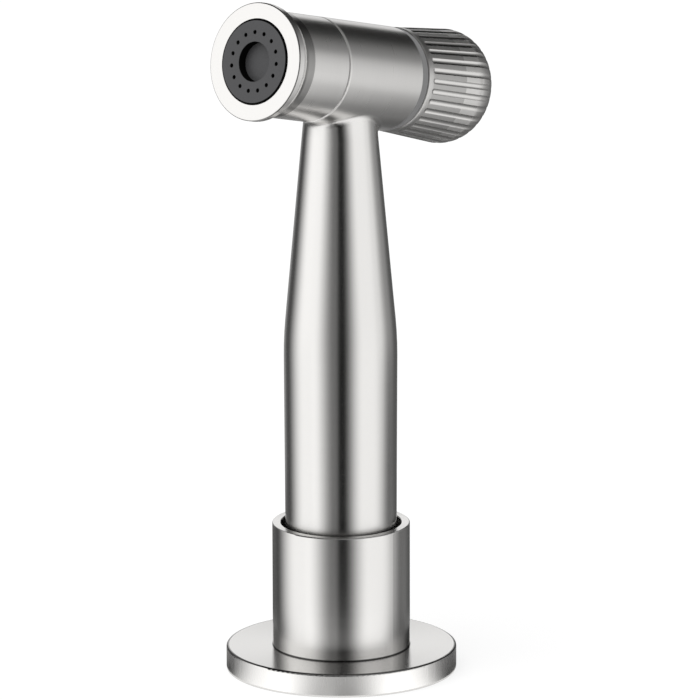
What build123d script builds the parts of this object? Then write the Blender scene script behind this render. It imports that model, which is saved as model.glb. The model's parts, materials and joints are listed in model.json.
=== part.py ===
"""Kitchen side sprayer in its deck holder, in millimetres.

The origin is the centre of the flange's underside, where it rests on the deck. +Z is up, and the
spray face looks along -Y, tilted up a little.
"""

import math
import os

from build123d import *

# Deck flange and cup
flange_radius = 27.0
flange_thickness = 5.5
flange_round = 0.5
cup_radius = 16.1
cup_bore_radius = 14.1
cup_height = 29.6
cup_floor_thickness = 3.0
cup_register_depth = 0.5
cup_rim_round = 0.25
flange_foot_break = 0.12

# Threaded shank with the collar that clamps the cup to the flange
shank_radius = 13.2
shank_bore_radius = 10.25
shank_reach = 50.0
shank_end_chamfer = 0.8
collar_radius = 13.8
collar_height = 2.5
collar_notch_width = 3.0
collar_notch_depth = 1.2
shank_clearance = 0.15

# Under the deck
deck_thickness = 20.0
gasket_radius = 22.0
gasket_width = 6.0
gasket_thickness = 1.5
gasket_clearance = 0.2
friction_washer_radius = 20.5
friction_washer_thickness = 2.5
steel_washer_radius = 19.0
steel_washer_thickness = 1.5
nut_across_flats = 34.0
nut_height = 8.0
nut_corner_angle = 30.0
nut_face_margin = 0.4
grommet_bore_radius = 8.5
grommet_length = 10.0
grommet_lip_radius = 12.4
grommet_lip_thickness = 1.5
grommet_clearance = 0.1

# Guide bush, which turns in the cup with the handset standing in it
bush_height = 16.0
bush_fit = 0.08
bush_ledge_radius = 10.7
bush_ledge_thickness = 3.0
bush_slot_width = 1.5
bush_slot_depth = 9.0
bush_slot_count = 6

# Handle, measured up from its foot
handle_foot_radius = 12.93
handle_shoulder_radius = 13.25
handle_shoulder_height = 65.9
handle_shoulder_blend = 90.0
handle_neck_radius = 7.47
handle_wall = 2.0
handle_foot_chamfer = 0.4
neck_fillet = 2.0
port_radius = 3.8
port_lead = 1.0

# Head, measured back from the spray face along the barrel
head_height = 128.3
head_tilt = 13.0
face_reach = 29.8
barrel_radius = 12.2
barrel_bore_radius = 10.2
seam_depth = 19.1
spigot_length = 4.3
web_gap = 0.4
web_thickness = 2.0
web_hole_radius = 4.4
seam_break = 0.25
barrel_end_break = 0.25

# Front collar and spray face
face_ring_radius = 13.55
face_ring_thickness = 1.9
face_ring_round = 0.25
cove_length = 2.9
cove_step = 0.35
spray_face_radius = 9.75
spray_face_thickness = 3.6
spray_face_proud = 0.3
spray_face_clearance = 0.15
spray_face_round = 0.2
jet_circle_radius = 6.74
jet_radius = 0.5
jet_count = 15
jet_turn = 8.5
recess_radius = 4.6
recess_depth = 2.2
face_gasket_thickness = 1.0
face_gasket_width = 1.2
diffuser_thickness = 1.4
diffuser_hole_radius = 0.8
diffuser_ring_spacing = 3.25
diffuser_ring_count = 2
diffuser_inner_holes = 6
chamber_radius = 7.6

# Quarter-turn ceramic valve, stacked back from the web in the barrel
seat_seal_thickness = 1.4
seat_seal_inner_radius = 6.4
seat_seal_outer_radius = 8.4
disc_radius = 7.4
disc_thickness = 2.2
disc_clearance = 0.1
opening_inner_radius = 1.8
opening_outer_radius = 6.2
opening_angle = 82.0
valve_tube_radius = 9.0
valve_tube_length = 9.0
window_width = 6.5
window_margin = 0.3
valve_flange_thickness = 4.0
valve_neck_radius = 6.0
valve_neck_length = 3.6
spindle_radius = 4.0
spindle_fit = 0.05
tang_width = 4.0
tang_length = 12.0
tang_depth = 2.0
tang_engagement = 0.6
drive_radius = 3.6
drive_across_flats = 5.8
drive_fit = 0.05
clip_thickness = 0.8
clip_radius = 5.4
clip_bite = 0.7
clip_gap_width = 4.5
cartridge_nut_length = 5.2
nut_boss_radius = 9.0
nut_boss_length = 1.6
nut_slot_width = 3.0
nut_slot_depth = 1.2
static_clearance = 0.05

# Wear ring and fluted knob
wear_ring_radius = 12.0
wear_ring_thickness = 1.9
wear_ring_clearance = 0.1
knob_gap = 0.15
knob_front_radius = 12.2
knob_back_radius = 13.43
knob_flank_length = 18.0
knob_length = 25.35
knob_end_radius = 9.3
knob_front_round = 0.3
knob_cavity_radius = 9.6
knob_cavity_depth = 16.5
knob_hub_radius = 6.2
knob_hub_setback = 1.2
spindle_depth_in_knob = 12.5
screw_thread_radius = 2.0
screw_length = 14.0
screw_head_radius = 3.4
screw_head_height = 2.5
screw_web_thickness = 6.0
screw_clearance = 0.1
screw_tip_gap = 2.0
screw_key_width = 3.0
screw_key_depth = 1.4
cap_radius = 7.5
cap_thickness = 1.6
cap_boss_length = 1.6
cap_clearance = 0.1
cap_chamfer = 0.3
flute_count = 32
flute_cutter_radius = 0.55
flute_depth = 0.45
flute_setback = 1.9
flute_end_lift = 0.15

# Hose inlet and check valve in the handle's foot, measured up from the foot
inlet_radius = 10.8
inlet_setback = 0.5
inlet_length = 12.0
inlet_bore_length = 13.5
nipple_radius = 7.5
nipple_length = 9.0
nipple_bore_radius = 4.5
nipple_chamfer = 0.6
spanner_hole_radius = 0.9
spanner_hole_circle = 9.2
spanner_hole_depth = 2.0
spanner_hole_count = 4
screen_radius = 5.9
screen_depth = 2.0
screen_rim_width = 1.2
screen_plate_thickness = 0.4
screen_hole_radius = 0.45
screen_hole_spacing = 1.4
screen_hole_rows = 5
check_pocket_height = 3.0
check_radius = 7.1
check_wall = 1.4
check_seat_radius = 3.9
check_seat_thickness = 1.4
check_seal_radius = 4.9
check_seal_thickness = 0.8
poppet_radius = 4.7
poppet_thickness = 1.2
poppet_boss_radius = 1.9
poppet_stem_radius = 1.4
poppet_stem_length = 7.6
poppet_stem_fit = 0.08
spider_thickness = 1.2
spider_hub_radius = 2.7
spider_arm_width = 1.4
spider_arm_count = 3
spring_radius = 2.2
spring_wire_radius = 0.25
spring_turns = 3.5

# O-rings and their grooves
o_ring_radius = 0.65
spindle_o_ring_radius = 0.55
o_ring_gap = 0.02
groove_side_gap = 0.15
groove_wall = 1.8

# Heights up from the deck
cup_base = flange_thickness - cup_register_depth
cup_rim = flange_thickness + cup_height
cup_floor = cup_base + cup_floor_thickness
collar_top = cup_floor + collar_height
foot = collar_top + bush_ledge_thickness
bush_top = collar_top + bush_height
head_axis_height = foot + head_height

# Depths back from the spray face's ring
web_front = seam_depth + spigot_length + web_gap
web_back = web_front + web_thickness
valve_front = web_back + seat_seal_thickness
disc_joint = valve_front + disc_thickness
disc_back = disc_joint + disc_thickness
valve_shoulder = valve_front + valve_tube_length
valve_flange_back = valve_shoulder + valve_flange_thickness
valve_back = valve_flange_back + valve_neck_length
barrel_end_depth = valve_flange_back + cartridge_nut_length
wear_ring_back = barrel_end_depth + wear_ring_thickness
knob_front = wear_ring_back + knob_gap
knob_back = knob_front + knob_length
spindle_end = knob_front + spindle_depth_in_knob

# Planes and axes of the head. z runs backwards along the barrel, and the section plane has x as the
# radius and y as the depth behind the face.
tilt = math.radians(head_tilt)
backwards = Vector(0, math.cos(tilt), -math.sin(tilt))
face_centre = Vector(0, 0, head_axis_height) - backwards * face_reach
head = Plane(origin=face_centre, x_dir=(1, 0, 0), z_dir=backwards)
head_section = Plane(origin=face_centre, x_dir=(1, 0, 0), z_dir=(0, math.sin(tilt), math.cos(tilt)))
head_axis = Axis(face_centre, backwards)


def handle_radius(height):
    """Outer radius of the handle's lower body at a height above its foot."""
    share = height / handle_shoulder_height
    return handle_foot_radius + share * (handle_shoulder_radius - handle_foot_radius)


def taper_radius(height):
    """Outer radius of the handle's taper at a height above its foot."""
    share = (height - handle_shoulder_height) / (head_height - handle_shoulder_height)
    return handle_shoulder_radius + share * (handle_neck_radius - handle_shoulder_radius)


def arc_radius(start, tangent, end):
    """Radius of the arc that leaves start along tangent and ends at end."""
    chord = end - start
    return chord.length / (2 * math.sin(math.radians(tangent.get_angle(chord))))


def on_section(point):
    """A section point as radius and position, for lines drawn on a plane of their own."""
    return (point.X, point.Y)


def o_ring_centre(bore_radius, ring_radius):
    """Radius of an O-ring's centre line when it seals against a bore."""
    return bore_radius - ring_radius - o_ring_gap


def groove_sketch(bore_radius, ring_radius, position):
    """Section of the groove that holds an O-ring, as radius across and position along the axis."""
    bottom = o_ring_centre(bore_radius, ring_radius) - ring_radius
    with BuildSketch() as groove:
        with Locations(((bottom + bore_radius) / 2, position)):
            Rectangle(bore_radius - bottom, 2 * (ring_radius + groove_side_gap))
    return groove.sketch


def sector_openings(start_angle):
    """Two opposite sector openings of a ceramic disc, centred on start_angle."""
    reach = 2 * opening_outer_radius
    side = reach * math.tan(math.radians(opening_angle / 2))
    with BuildSketch() as openings:
        with PolarLocations(0, 2, start_angle=start_angle):
            Polygon((0, 0), (reach, -side), (reach, side), align=None)
        Circle(opening_outer_radius, mode=Mode.INTERSECT)
        Circle(opening_inner_radius, mode=Mode.SUBTRACT)
    return openings.sketch


# Flange: round plate with a register for the cup and a groove for the gasket
with BuildPart() as flange:
    with BuildSketch():
        Circle(flange_radius)
    extrude(amount=flange_thickness)
    fillet(flange.edges().group_by(Axis.Z)[-1], flange_round)
    chamfer(flange.edges().group_by(Axis.Z)[0], flange_foot_break)
    with BuildSketch(Plane.XY.offset(flange_thickness)):
        Circle(cup_radius + static_clearance)
    extrude(amount=-cup_register_depth, mode=Mode.SUBTRACT)
    with BuildSketch():
        Circle(gasket_radius + gasket_clearance)
        Circle(gasket_radius - gasket_width - gasket_clearance, mode=Mode.SUBTRACT)
    extrude(amount=gasket_thickness, mode=Mode.SUBTRACT)
    Hole(shank_radius + shank_clearance)
flange.part.label = "flange"

# Cup: open tube with a floor
with BuildPart() as holder_cup:
    with BuildSketch(Plane.XY.offset(cup_base)):
        Circle(cup_radius)
    extrude(amount=cup_rim - cup_base)
    with BuildSketch(Plane.XY.offset(cup_rim)):
        Circle(cup_bore_radius)
    extrude(amount=cup_floor - cup_rim, mode=Mode.SUBTRACT)
    fillet(holder_cup.edges().group_by(Axis.Z)[-1], cup_rim_round)
    with BuildSketch(Plane.XY.offset(cup_floor)):
        Circle(shank_radius + shank_clearance)
    extrude(amount=-cup_floor_thickness, mode=Mode.SUBTRACT)
holder_cup.part.label = "holder_cup"

# Threaded shank: its collar bears on the cup's floor and has notches for a pin spanner
with BuildPart() as threaded_shank:
    with BuildSketch(Plane.XY.offset(-shank_reach)):
        Circle(shank_radius)
    extrude(amount=shank_reach + cup_floor)
    chamfer(threaded_shank.edges().group_by(Axis.Z)[0], shank_end_chamfer)
    with BuildSketch(Plane.XY.offset(cup_floor)):
        Circle(collar_radius)
    extrude(amount=collar_height)
    with BuildSketch(Plane.XY.offset(collar_top)):
        Rectangle(2 * cup_bore_radius, collar_notch_width)
    extrude(amount=-collar_notch_depth, mode=Mode.SUBTRACT)
    with BuildSketch(Plane.XY.offset(collar_top)):
        Circle(shank_bore_radius)
    extrude(amount=-shank_reach - collar_top, mode=Mode.SUBTRACT)
threaded_shank.part.label = "threaded_shank"

# Gasket flush with the flange's underside
with BuildPart() as deck_gasket:
    with BuildSketch():
        Circle(gasket_radius)
        Circle(gasket_radius - gasket_width, mode=Mode.SUBTRACT)
    extrude(amount=gasket_thickness)
deck_gasket.part.label = "deck_gasket"

# Washers and nut under the deck
friction_washer_top = -deck_thickness
steel_washer_top = friction_washer_top - friction_washer_thickness
nut_top = steel_washer_top - steel_washer_thickness
nut_corner_radius = nut_across_flats / math.sqrt(3)
nut_corner_width = nut_corner_radius - nut_across_flats / 2 + nut_face_margin
nut_corner_height = nut_corner_width * math.tan(math.radians(nut_corner_angle))

with BuildPart() as friction_washer:
    with BuildSketch(Plane.XY.offset(friction_washer_top)):
        Circle(friction_washer_radius)
        Circle(shank_radius + shank_clearance, mode=Mode.SUBTRACT)
    extrude(amount=-friction_washer_thickness)
friction_washer.part.label = "friction_washer"

with BuildPart() as steel_washer:
    with BuildSketch(Plane.XY.offset(steel_washer_top)):
        Circle(steel_washer_radius)
        Circle(shank_radius + shank_clearance, mode=Mode.SUBTRACT)
    extrude(amount=-steel_washer_thickness)
steel_washer.part.label = "steel_washer"

with BuildPart() as mounting_nut:
    with BuildSketch(Plane.XY.offset(nut_top)):
        Circle(nut_corner_radius)
    extrude(amount=-nut_height)
    nut_underside = mounting_nut.faces().sort_by(Axis.Z)[0]
    chamfer(nut_underside.edges(), nut_corner_width, nut_corner_height, reference=nut_underside)
    with BuildSketch(Plane.XY.offset(nut_top)):
        RegularPolygon(nut_across_flats / 2, 6, major_radius=False)
    extrude(amount=-nut_height, mode=Mode.INTERSECT)
    with BuildSketch(Plane.XY.offset(nut_top)):
        Circle(shank_radius + static_clearance)
    extrude(amount=-nut_height, mode=Mode.SUBTRACT)
mounting_nut.part.label = "mounting_nut"

# Grommet pushed into the shank's lower end, for the hose to slide through
with BuildPart() as hose_grommet:
    with BuildSketch(Plane.XY.offset(-shank_reach)):
        Circle(shank_bore_radius - grommet_clearance)
    extrude(amount=grommet_length)
    with BuildSketch(Plane.XY.offset(-shank_reach)):
        Circle(grommet_lip_radius)
    extrude(amount=-grommet_lip_thickness)
    with BuildSketch(Plane.XY.offset(grommet_length - shank_reach)):
        Circle(grommet_bore_radius)
    extrude(amount=-grommet_length - grommet_lip_thickness, mode=Mode.SUBTRACT)
hose_grommet.part.label = "hose_grommet"

# Guide bush: a thin sleeve with a ledge that the handle's foot stands on, slotted into fingers
bush_bore_radius = handle_radius(bush_top - foot) + bush_fit

with BuildPart() as guide_bush:
    with BuildSketch(Plane.XY.offset(collar_top)):
        Circle(cup_bore_radius - bush_fit)
    extrude(amount=bush_height)
    with BuildSketch(Plane.XY.offset(bush_top)):
        Circle(bush_bore_radius)
    extrude(amount=foot - bush_top, mode=Mode.SUBTRACT)
    with BuildSketch(Plane.XY.offset(foot)):
        Circle(bush_ledge_radius)
    extrude(amount=-bush_ledge_thickness, mode=Mode.SUBTRACT)
    with BuildSketch(Plane.XY.offset(bush_top)):
        with PolarLocations(cup_bore_radius, bush_slot_count):
            Rectangle(cup_bore_radius, bush_slot_width)
    extrude(amount=-bush_slot_depth, mode=Mode.SUBTRACT)
guide_bush.part.label = "guide_bush"

# Handset body: tapered handle joined to the rear barrel by a ground fillet, hollow for the water
barrel_underside = head_axis_height - barrel_radius / math.cos(tilt)
hollow_top = barrel_underside - port_lead
hollow_neck_radius = taper_radius(hollow_top - foot) - handle_wall
hollow_cone_height = hollow_neck_radius - port_radius
shoulder = (handle_shoulder_radius, foot + handle_shoulder_height)

with BuildPart() as handset_body:
    with BuildSketch(Plane.XZ) as handle_section:
        with BuildLine():
            Polyline(
                (0, foot),
                (handle_foot_radius - handle_foot_chamfer, foot),
                (handle_foot_radius, foot + handle_foot_chamfer),
                shoulder,
                (handle_neck_radius, head_axis_height),
                (0, head_axis_height),
                close=True,
            )
        make_face()
        corner = handle_section.vertices().sort_by_distance(shoulder)[0]
        fillet(corner, handle_shoulder_blend)
    revolve(axis=Axis.Z)
    with BuildSketch(head_section):
        with BuildLine():
            Polyline(
                (0, seam_depth),
                (barrel_radius - seam_break, seam_depth),
                (barrel_radius, seam_depth + seam_break),
                (barrel_radius, barrel_end_depth - barrel_end_break),
                (barrel_radius - barrel_end_break, barrel_end_depth),
                (0, barrel_end_depth),
                close=True,
            )
        make_face()
    revolve(axis=head_axis)
    fillet(handset_body.edges().filter_by(GeomType.BSPLINE), neck_fillet)
    with BuildSketch(Plane.XZ):
        with BuildLine():
            Polyline(
                (0, foot),
                (inlet_radius + static_clearance, foot),
                (inlet_radius + static_clearance, foot + inlet_bore_length),
                (handle_radius(inlet_bore_length) - handle_wall, foot + inlet_bore_length),
                (handle_shoulder_radius - handle_wall, foot + handle_shoulder_height),
                (hollow_neck_radius, hollow_top - hollow_cone_height),
                (port_radius, hollow_top),
                (port_radius, head_axis_height),
                (0, head_axis_height),
                close=True,
            )
        make_face()
    revolve(axis=Axis.Z, mode=Mode.SUBTRACT)
    with BuildSketch(head_section):
        with BuildLine():
            Polyline(
                (0, seam_depth),
                (barrel_bore_radius, seam_depth),
                (barrel_bore_radius, web_front),
                (web_hole_radius, web_front),
                (web_hole_radius, web_back),
                (barrel_bore_radius, web_back),
                (barrel_bore_radius, barrel_end_depth),
                (0, barrel_end_depth),
                close=True,
            )
        make_face()
    revolve(axis=head_axis, mode=Mode.SUBTRACT)
handset_body.part.label = "handset_body"

# Front collar: the wide face ring, a cove down to the barrel's size and a spigot into the barrel
spray_back = spray_face_thickness - spray_face_proud
gasket_back = spray_back + face_gasket_thickness
collar_ledge = gasket_back + diffuser_thickness
insert_bore_radius = spray_face_radius + spray_face_clearance
spigot_radius = barrel_bore_radius - static_clearance
spigot_back = seam_depth + spigot_length
collar_o_ring_depth = seam_depth + spigot_length / 2
ring_back = face_ring_thickness
cove_front = (face_ring_radius - cove_step, ring_back)
cove_back = (barrel_radius, ring_back + cove_length)
cove_radius = arc_radius(Vector(cove_back), Vector(0, -1), Vector(cove_front))

with BuildPart() as front_collar:
    with BuildSketch(head_section) as collar_section:
        with BuildLine():
            Polyline(
                cove_back,
                (barrel_radius, seam_depth - seam_break),
                (barrel_radius - seam_break, seam_depth),
                (spigot_radius, seam_depth),
                (spigot_radius, spigot_back),
                (chamber_radius, spigot_back),
                (chamber_radius, collar_ledge),
                (insert_bore_radius, collar_ledge),
                (insert_bore_radius, 0),
                (face_ring_radius, 0),
                (face_ring_radius, ring_back),
                cove_front,
            )
            RadiusArc(cove_front, cove_back, cove_radius)
        make_face()
        rim = collar_section.vertices().group_by(Axis.X)[-1]
        fillet(rim, face_ring_round)
    revolve(axis=head_axis)
    with BuildSketch(head_section):
        add(groove_sketch(barrel_bore_radius, o_ring_radius, collar_o_ring_depth))
    revolve(axis=head_axis, mode=Mode.SUBTRACT)
front_collar.part.label = "front_collar"

# Spray face: dark insert with a ring of jets round a central recess
with BuildPart() as spray_face:
    with BuildSketch(head.offset(-spray_face_proud)):
        Circle(spray_face_radius)
    extrude(amount=spray_face_thickness)
    front_edge = spray_face.faces().sort_by(Axis(face_centre, backwards))[0].edges()
    fillet(front_edge, spray_face_round)
    with BuildSketch(head.offset(-spray_face_proud)):
        Circle(recess_radius)
    extrude(amount=recess_depth, mode=Mode.SUBTRACT)
    with BuildSketch(head.offset(-spray_face_proud)):
        with PolarLocations(jet_circle_radius, jet_count, start_angle=-90 - jet_turn):
            Circle(jet_radius)
    extrude(amount=spray_face_thickness, mode=Mode.SUBTRACT)
spray_face.part.label = "spray_face"

# Gasket and diffuser behind the spray face
with BuildPart() as face_gasket:
    with BuildSketch(head.offset(spray_back)):
        Circle(spray_face_radius)
        Circle(spray_face_radius - face_gasket_width, mode=Mode.SUBTRACT)
    extrude(amount=face_gasket_thickness)
face_gasket.part.label = "face_gasket"

with BuildPart() as diffuser_plate:
    with BuildSketch(head.offset(gasket_back)):
        Circle(spray_face_radius)
        for ring in range(1, diffuser_ring_count + 1):
            with PolarLocations(ring * diffuser_ring_spacing, ring * diffuser_inner_holes):
                Circle(diffuser_hole_radius, mode=Mode.SUBTRACT)
    extrude(amount=diffuser_thickness)
diffuser_plate.part.label = "diffuser_plate"

# Valve body: tube for the discs with four side windows, a flange in the barrel and a neck
cartridge_radius = barrel_bore_radius - static_clearance
spindle_bore_radius = spindle_radius + spindle_fit
window_front = disc_back + window_margin
cartridge_o_ring_depth = valve_shoulder + valve_flange_thickness / 2

with BuildPart() as valve_seat_seal:
    with BuildSketch(head.offset(web_back)):
        Circle(seat_seal_outer_radius)
        Circle(seat_seal_inner_radius, mode=Mode.SUBTRACT)
    extrude(amount=seat_seal_thickness)
valve_seat_seal.part.label = "valve_seat_seal"

with BuildPart() as valve_body:
    with BuildSketch(head_section):
        with BuildLine():
            Polyline(
                (disc_radius + disc_clearance, valve_front),
                (valve_tube_radius, valve_front),
                (valve_tube_radius, valve_shoulder),
                (cartridge_radius, valve_shoulder),
                (cartridge_radius, valve_flange_back),
                (valve_neck_radius, valve_flange_back),
                (valve_neck_radius, valve_back),
                (spindle_bore_radius, valve_back),
                (spindle_bore_radius, valve_shoulder),
                (disc_radius + disc_clearance, valve_shoulder),
                close=True,
            )
        make_face()
    revolve(axis=head_axis)
    with BuildSketch(head.offset(window_front)):
        with PolarLocations(0, 2, angular_range=180):
            Rectangle(2 * cartridge_radius, window_width)
    extrude(amount=valve_shoulder - window_margin - window_front, mode=Mode.SUBTRACT)
    with BuildSketch(head_section):
        add(groove_sketch(barrel_bore_radius, o_ring_radius, cartridge_o_ring_depth))
    revolve(axis=head_axis, mode=Mode.SUBTRACT)
valve_body.part.label = "valve_body"

# Ceramic discs: the openings lie a quarter turn apart while the valve is shut
with BuildPart() as fixed_disc:
    with BuildSketch(head.offset(valve_front)):
        Circle(disc_radius)
        add(sector_openings(0), mode=Mode.SUBTRACT)
    extrude(amount=disc_thickness)
fixed_disc.part.label = "fixed_disc"

tang_front = disc_back - tang_engagement

with BuildPart() as moving_disc:
    with BuildSketch(head.offset(disc_joint)):
        Circle(disc_radius)
        add(sector_openings(90), mode=Mode.SUBTRACT)
    extrude(amount=disc_thickness)
    with BuildSketch(head.offset(disc_back)):
        Rectangle(2 * disc_radius, tang_width + 2 * drive_fit)
    extrude(amount=-tang_engagement, mode=Mode.SUBTRACT)
moving_disc.part.label = "moving_disc"

# Spindle: tang in the disc's slot, shaft with two grooves, and a drive end with two flats
tang_back = tang_front + tang_depth
shaft_back = barrel_end_depth + nut_boss_length
spindle_o_ring_depth = valve_shoulder + valve_flange_thickness / 2
clip_front = valve_back + spindle_fit
clip_inner_radius = spindle_radius - clip_bite

with BuildPart() as spindle:
    with BuildSketch(head.offset(tang_front)):
        Rectangle(tang_length, tang_width)
    extrude(amount=tang_depth)
    with BuildSketch(head.offset(tang_back)):
        Circle(spindle_radius)
    extrude(amount=shaft_back - tang_back)
    with BuildSketch(head.offset(shaft_back)):
        Circle(drive_radius)
        Rectangle(2 * drive_radius, drive_across_flats, mode=Mode.INTERSECT)
    extrude(amount=spindle_end - shaft_back)
    with BuildSketch(head_section):
        add(groove_sketch(spindle_bore_radius, spindle_o_ring_radius, spindle_o_ring_depth))
        with Locations((clip_inner_radius + clip_bite / 2, clip_front + clip_thickness / 2)):
            Rectangle(clip_bite, clip_thickness + 2 * spindle_fit)
    revolve(axis=head_axis, mode=Mode.SUBTRACT)
    with BuildSketch(head.offset(spindle_end)):
        Circle(screw_thread_radius + static_clearance)
    extrude(amount=-screw_length + screw_web_thickness - screw_tip_gap, mode=Mode.SUBTRACT)
spindle.part.label = "spindle"

with BuildPart() as spindle_clip:
    with BuildSketch(head.offset(clip_front)):
        Circle(clip_radius)
        Circle(clip_inner_radius + static_clearance, mode=Mode.SUBTRACT)
        with Locations((clip_radius, 0)):
            Rectangle(2 * clip_radius, clip_gap_width, mode=Mode.SUBTRACT)
    extrude(amount=clip_thickness)
spindle_clip.part.label = "spindle_clip"

# Nut that holds the cartridge, with a boss that centres the wear ring
with BuildPart() as cartridge_nut:
    with BuildSketch(head.offset(valve_flange_back)):
        Circle(cartridge_radius)
    extrude(amount=barrel_end_depth - valve_flange_back)
    with BuildSketch(head.offset(barrel_end_depth)):
        Circle(nut_boss_radius)
    extrude(amount=nut_boss_length)
    with BuildSketch(head.offset(shaft_back)):
        Rectangle(2 * nut_boss_radius, nut_slot_width)
    extrude(amount=-nut_slot_depth, mode=Mode.SUBTRACT)
    with BuildSketch(head.offset(valve_flange_back)):
        Circle(valve_neck_radius + static_clearance)
    extrude(amount=shaft_back - valve_flange_back, mode=Mode.SUBTRACT)
cartridge_nut.part.label = "cartridge_nut"

with BuildPart() as knob_ring:
    with BuildSketch(head.offset(barrel_end_depth)):
        Circle(wear_ring_radius)
        Circle(nut_boss_radius + wear_ring_clearance, mode=Mode.SUBTRACT)
    extrude(amount=wear_ring_thickness)
knob_ring.part.label = "knob_ring"

# Fluted knob. Its outline is a flank that widens backwards and a round shoulder. Each flute is cut
# by a ball that runs along the flank at a constant depth and leaves the metal over the shoulder.
flank_start = Vector(knob_front_radius, knob_front)
shoulder_start = Vector(knob_back_radius, knob_front + knob_flank_length)
shoulder_end = Vector(knob_end_radius, knob_back)
flank_direction = (shoulder_start - flank_start).normalized()
shoulder_chord = (shoulder_end - shoulder_start).normalized()
end_direction = shoulder_chord * (2 * flank_direction.dot(shoulder_chord)) - flank_direction
shoulder_radius = arc_radius(shoulder_start, flank_direction, shoulder_end)
cutter_lift = flute_cutter_radius - flute_depth
flank_normal = Vector(flank_direction.Y, -flank_direction.X)
end_normal = Vector(end_direction.Y, -end_direction.X)
cutter_start = flank_start + flank_direction * flute_setback + flank_normal * cutter_lift
cutter_turn = shoulder_start + flank_normal * cutter_lift
cutter_end = shoulder_end + end_normal * (flute_cutter_radius + flute_end_lift)
cutter_arc_radius = arc_radius(cutter_turn, flank_direction, cutter_end)

with BuildPart() as flute_cutter:
    with BuildLine(Plane.XZ) as cutter_path:
        Line(on_section(cutter_start), on_section(cutter_turn))
        RadiusArc(on_section(cutter_turn), on_section(cutter_end), -cutter_arc_radius)
    with BuildSketch(Plane(origin=cutter_path.line @ 0, z_dir=cutter_path.line % 0)):
        Circle(flute_cutter_radius)
    sweep(path=cutter_path.line)
    with Locations(cutter_path.line @ 0):
        Sphere(flute_cutter_radius)

screw_seat = spindle_end + screw_web_thickness
cap_front = knob_back - cap_thickness

with BuildPart(head) as knob:
    with BuildSketch(head_section) as knob_section:
        with BuildLine():
            Polyline(
                (0, knob_back),
                (0, knob_front),
                (knob_front_radius, knob_front),
                shoulder_start,
            )
            RadiusArc(shoulder_start, shoulder_end, -shoulder_radius)
            Line(shoulder_end, (0, knob_back))
        make_face()
        fillet(knob_section.vertices().sort_by_distance(flank_start)[0], knob_front_round)
    revolve(axis=head_axis)
    with PolarLocations(0, flute_count, start_angle=180 / flute_count):
        add(flute_cutter.part, mode=Mode.SUBTRACT)
    with BuildSketch(head.offset(knob_front)):
        Circle(knob_cavity_radius)
    extrude(amount=knob_hub_setback, mode=Mode.SUBTRACT)
    with BuildSketch(head.offset(knob_front)):
        Circle(knob_cavity_radius)
        Circle(knob_hub_radius, mode=Mode.SUBTRACT)
    extrude(amount=knob_cavity_depth, mode=Mode.SUBTRACT)
    with BuildSketch(head.offset(knob_front)):
        Circle(drive_radius + drive_fit)
        Rectangle(2 * knob_hub_radius, drive_across_flats + 2 * drive_fit, mode=Mode.INTERSECT)
    extrude(amount=spindle_depth_in_knob, mode=Mode.SUBTRACT)
    with BuildSketch(head.offset(spindle_end)):
        Circle(screw_thread_radius + screw_clearance)
    extrude(amount=knob_back - spindle_end, mode=Mode.SUBTRACT)
    with BuildSketch(head.offset(screw_seat)):
        Circle(screw_head_radius + screw_clearance)
    extrude(amount=knob_back - screw_seat, mode=Mode.SUBTRACT)
    with BuildSketch(head.offset(cap_front)):
        Circle(cap_radius + cap_clearance)
    extrude(amount=cap_thickness, mode=Mode.SUBTRACT)
knob.part.label = "knob"

with BuildPart() as knob_screw:
    with BuildSketch(head.offset(screw_seat)):
        Circle(screw_thread_radius)
    extrude(amount=-screw_length)
    with BuildSketch(head.offset(screw_seat)):
        Circle(screw_head_radius)
    extrude(amount=screw_head_height)
    with BuildSketch(head.offset(screw_seat + screw_head_height)):
        RegularPolygon(screw_key_width / 2, 6, major_radius=False)
    extrude(amount=-screw_key_depth, mode=Mode.SUBTRACT)
knob_screw.part.label = "knob_screw"

with BuildPart() as knob_cap:
    with BuildSketch(head.offset(cap_front)):
        Circle(cap_radius)
    extrude(amount=cap_thickness)
    back_edge = knob_cap.faces().sort_by(Axis(face_centre, backwards))[-1].edges()
    chamfer(back_edge, cap_chamfer)
    with BuildSketch(head.offset(cap_front)):
        Circle(screw_head_radius)
    extrude(amount=-cap_boss_length)
knob_cap.part.label = "knob_cap"

# Inlet fitting: plug in the handle's foot with a nipple for the hose
inlet_base = foot + inlet_setback
inlet_top = inlet_base + inlet_length
nipple_end = inlet_base - nipple_length
check_base = inlet_base + check_pocket_height
inlet_bore_radius = inlet_radius + static_clearance
inlet_o_ring_height = inlet_top - groove_wall - o_ring_radius - groove_side_gap

with BuildPart() as inlet_fitting:
    with BuildSketch(Plane.XY.offset(nipple_end)):
        Circle(nipple_radius)
    extrude(amount=nipple_length)
    chamfer(inlet_fitting.edges().group_by(Axis.Z)[0], nipple_chamfer)
    with BuildSketch(Plane.XY.offset(inlet_base)):
        Circle(inlet_radius)
    extrude(amount=inlet_length)
    with BuildSketch(Plane.XZ):
        add(groove_sketch(inlet_bore_radius, o_ring_radius, inlet_o_ring_height))
    revolve(axis=Axis.Z, mode=Mode.SUBTRACT)
    with BuildSketch(Plane.XY.offset(nipple_end)):
        Circle(nipple_bore_radius)
    extrude(amount=inlet_top - nipple_end, mode=Mode.SUBTRACT)
    with BuildSketch(Plane.XY.offset(nipple_end)):
        Circle(screen_radius + static_clearance)
    extrude(amount=screen_depth, mode=Mode.SUBTRACT)
    with BuildSketch(Plane.XY.offset(check_base)):
        Circle(check_radius + static_clearance)
    extrude(amount=inlet_top - check_base, mode=Mode.SUBTRACT)
    with BuildSketch(Plane.XY.offset(inlet_base)):
        with PolarLocations(spanner_hole_circle, spanner_hole_count):
            Circle(spanner_hole_radius)
    extrude(amount=spanner_hole_depth, mode=Mode.SUBTRACT)
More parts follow.
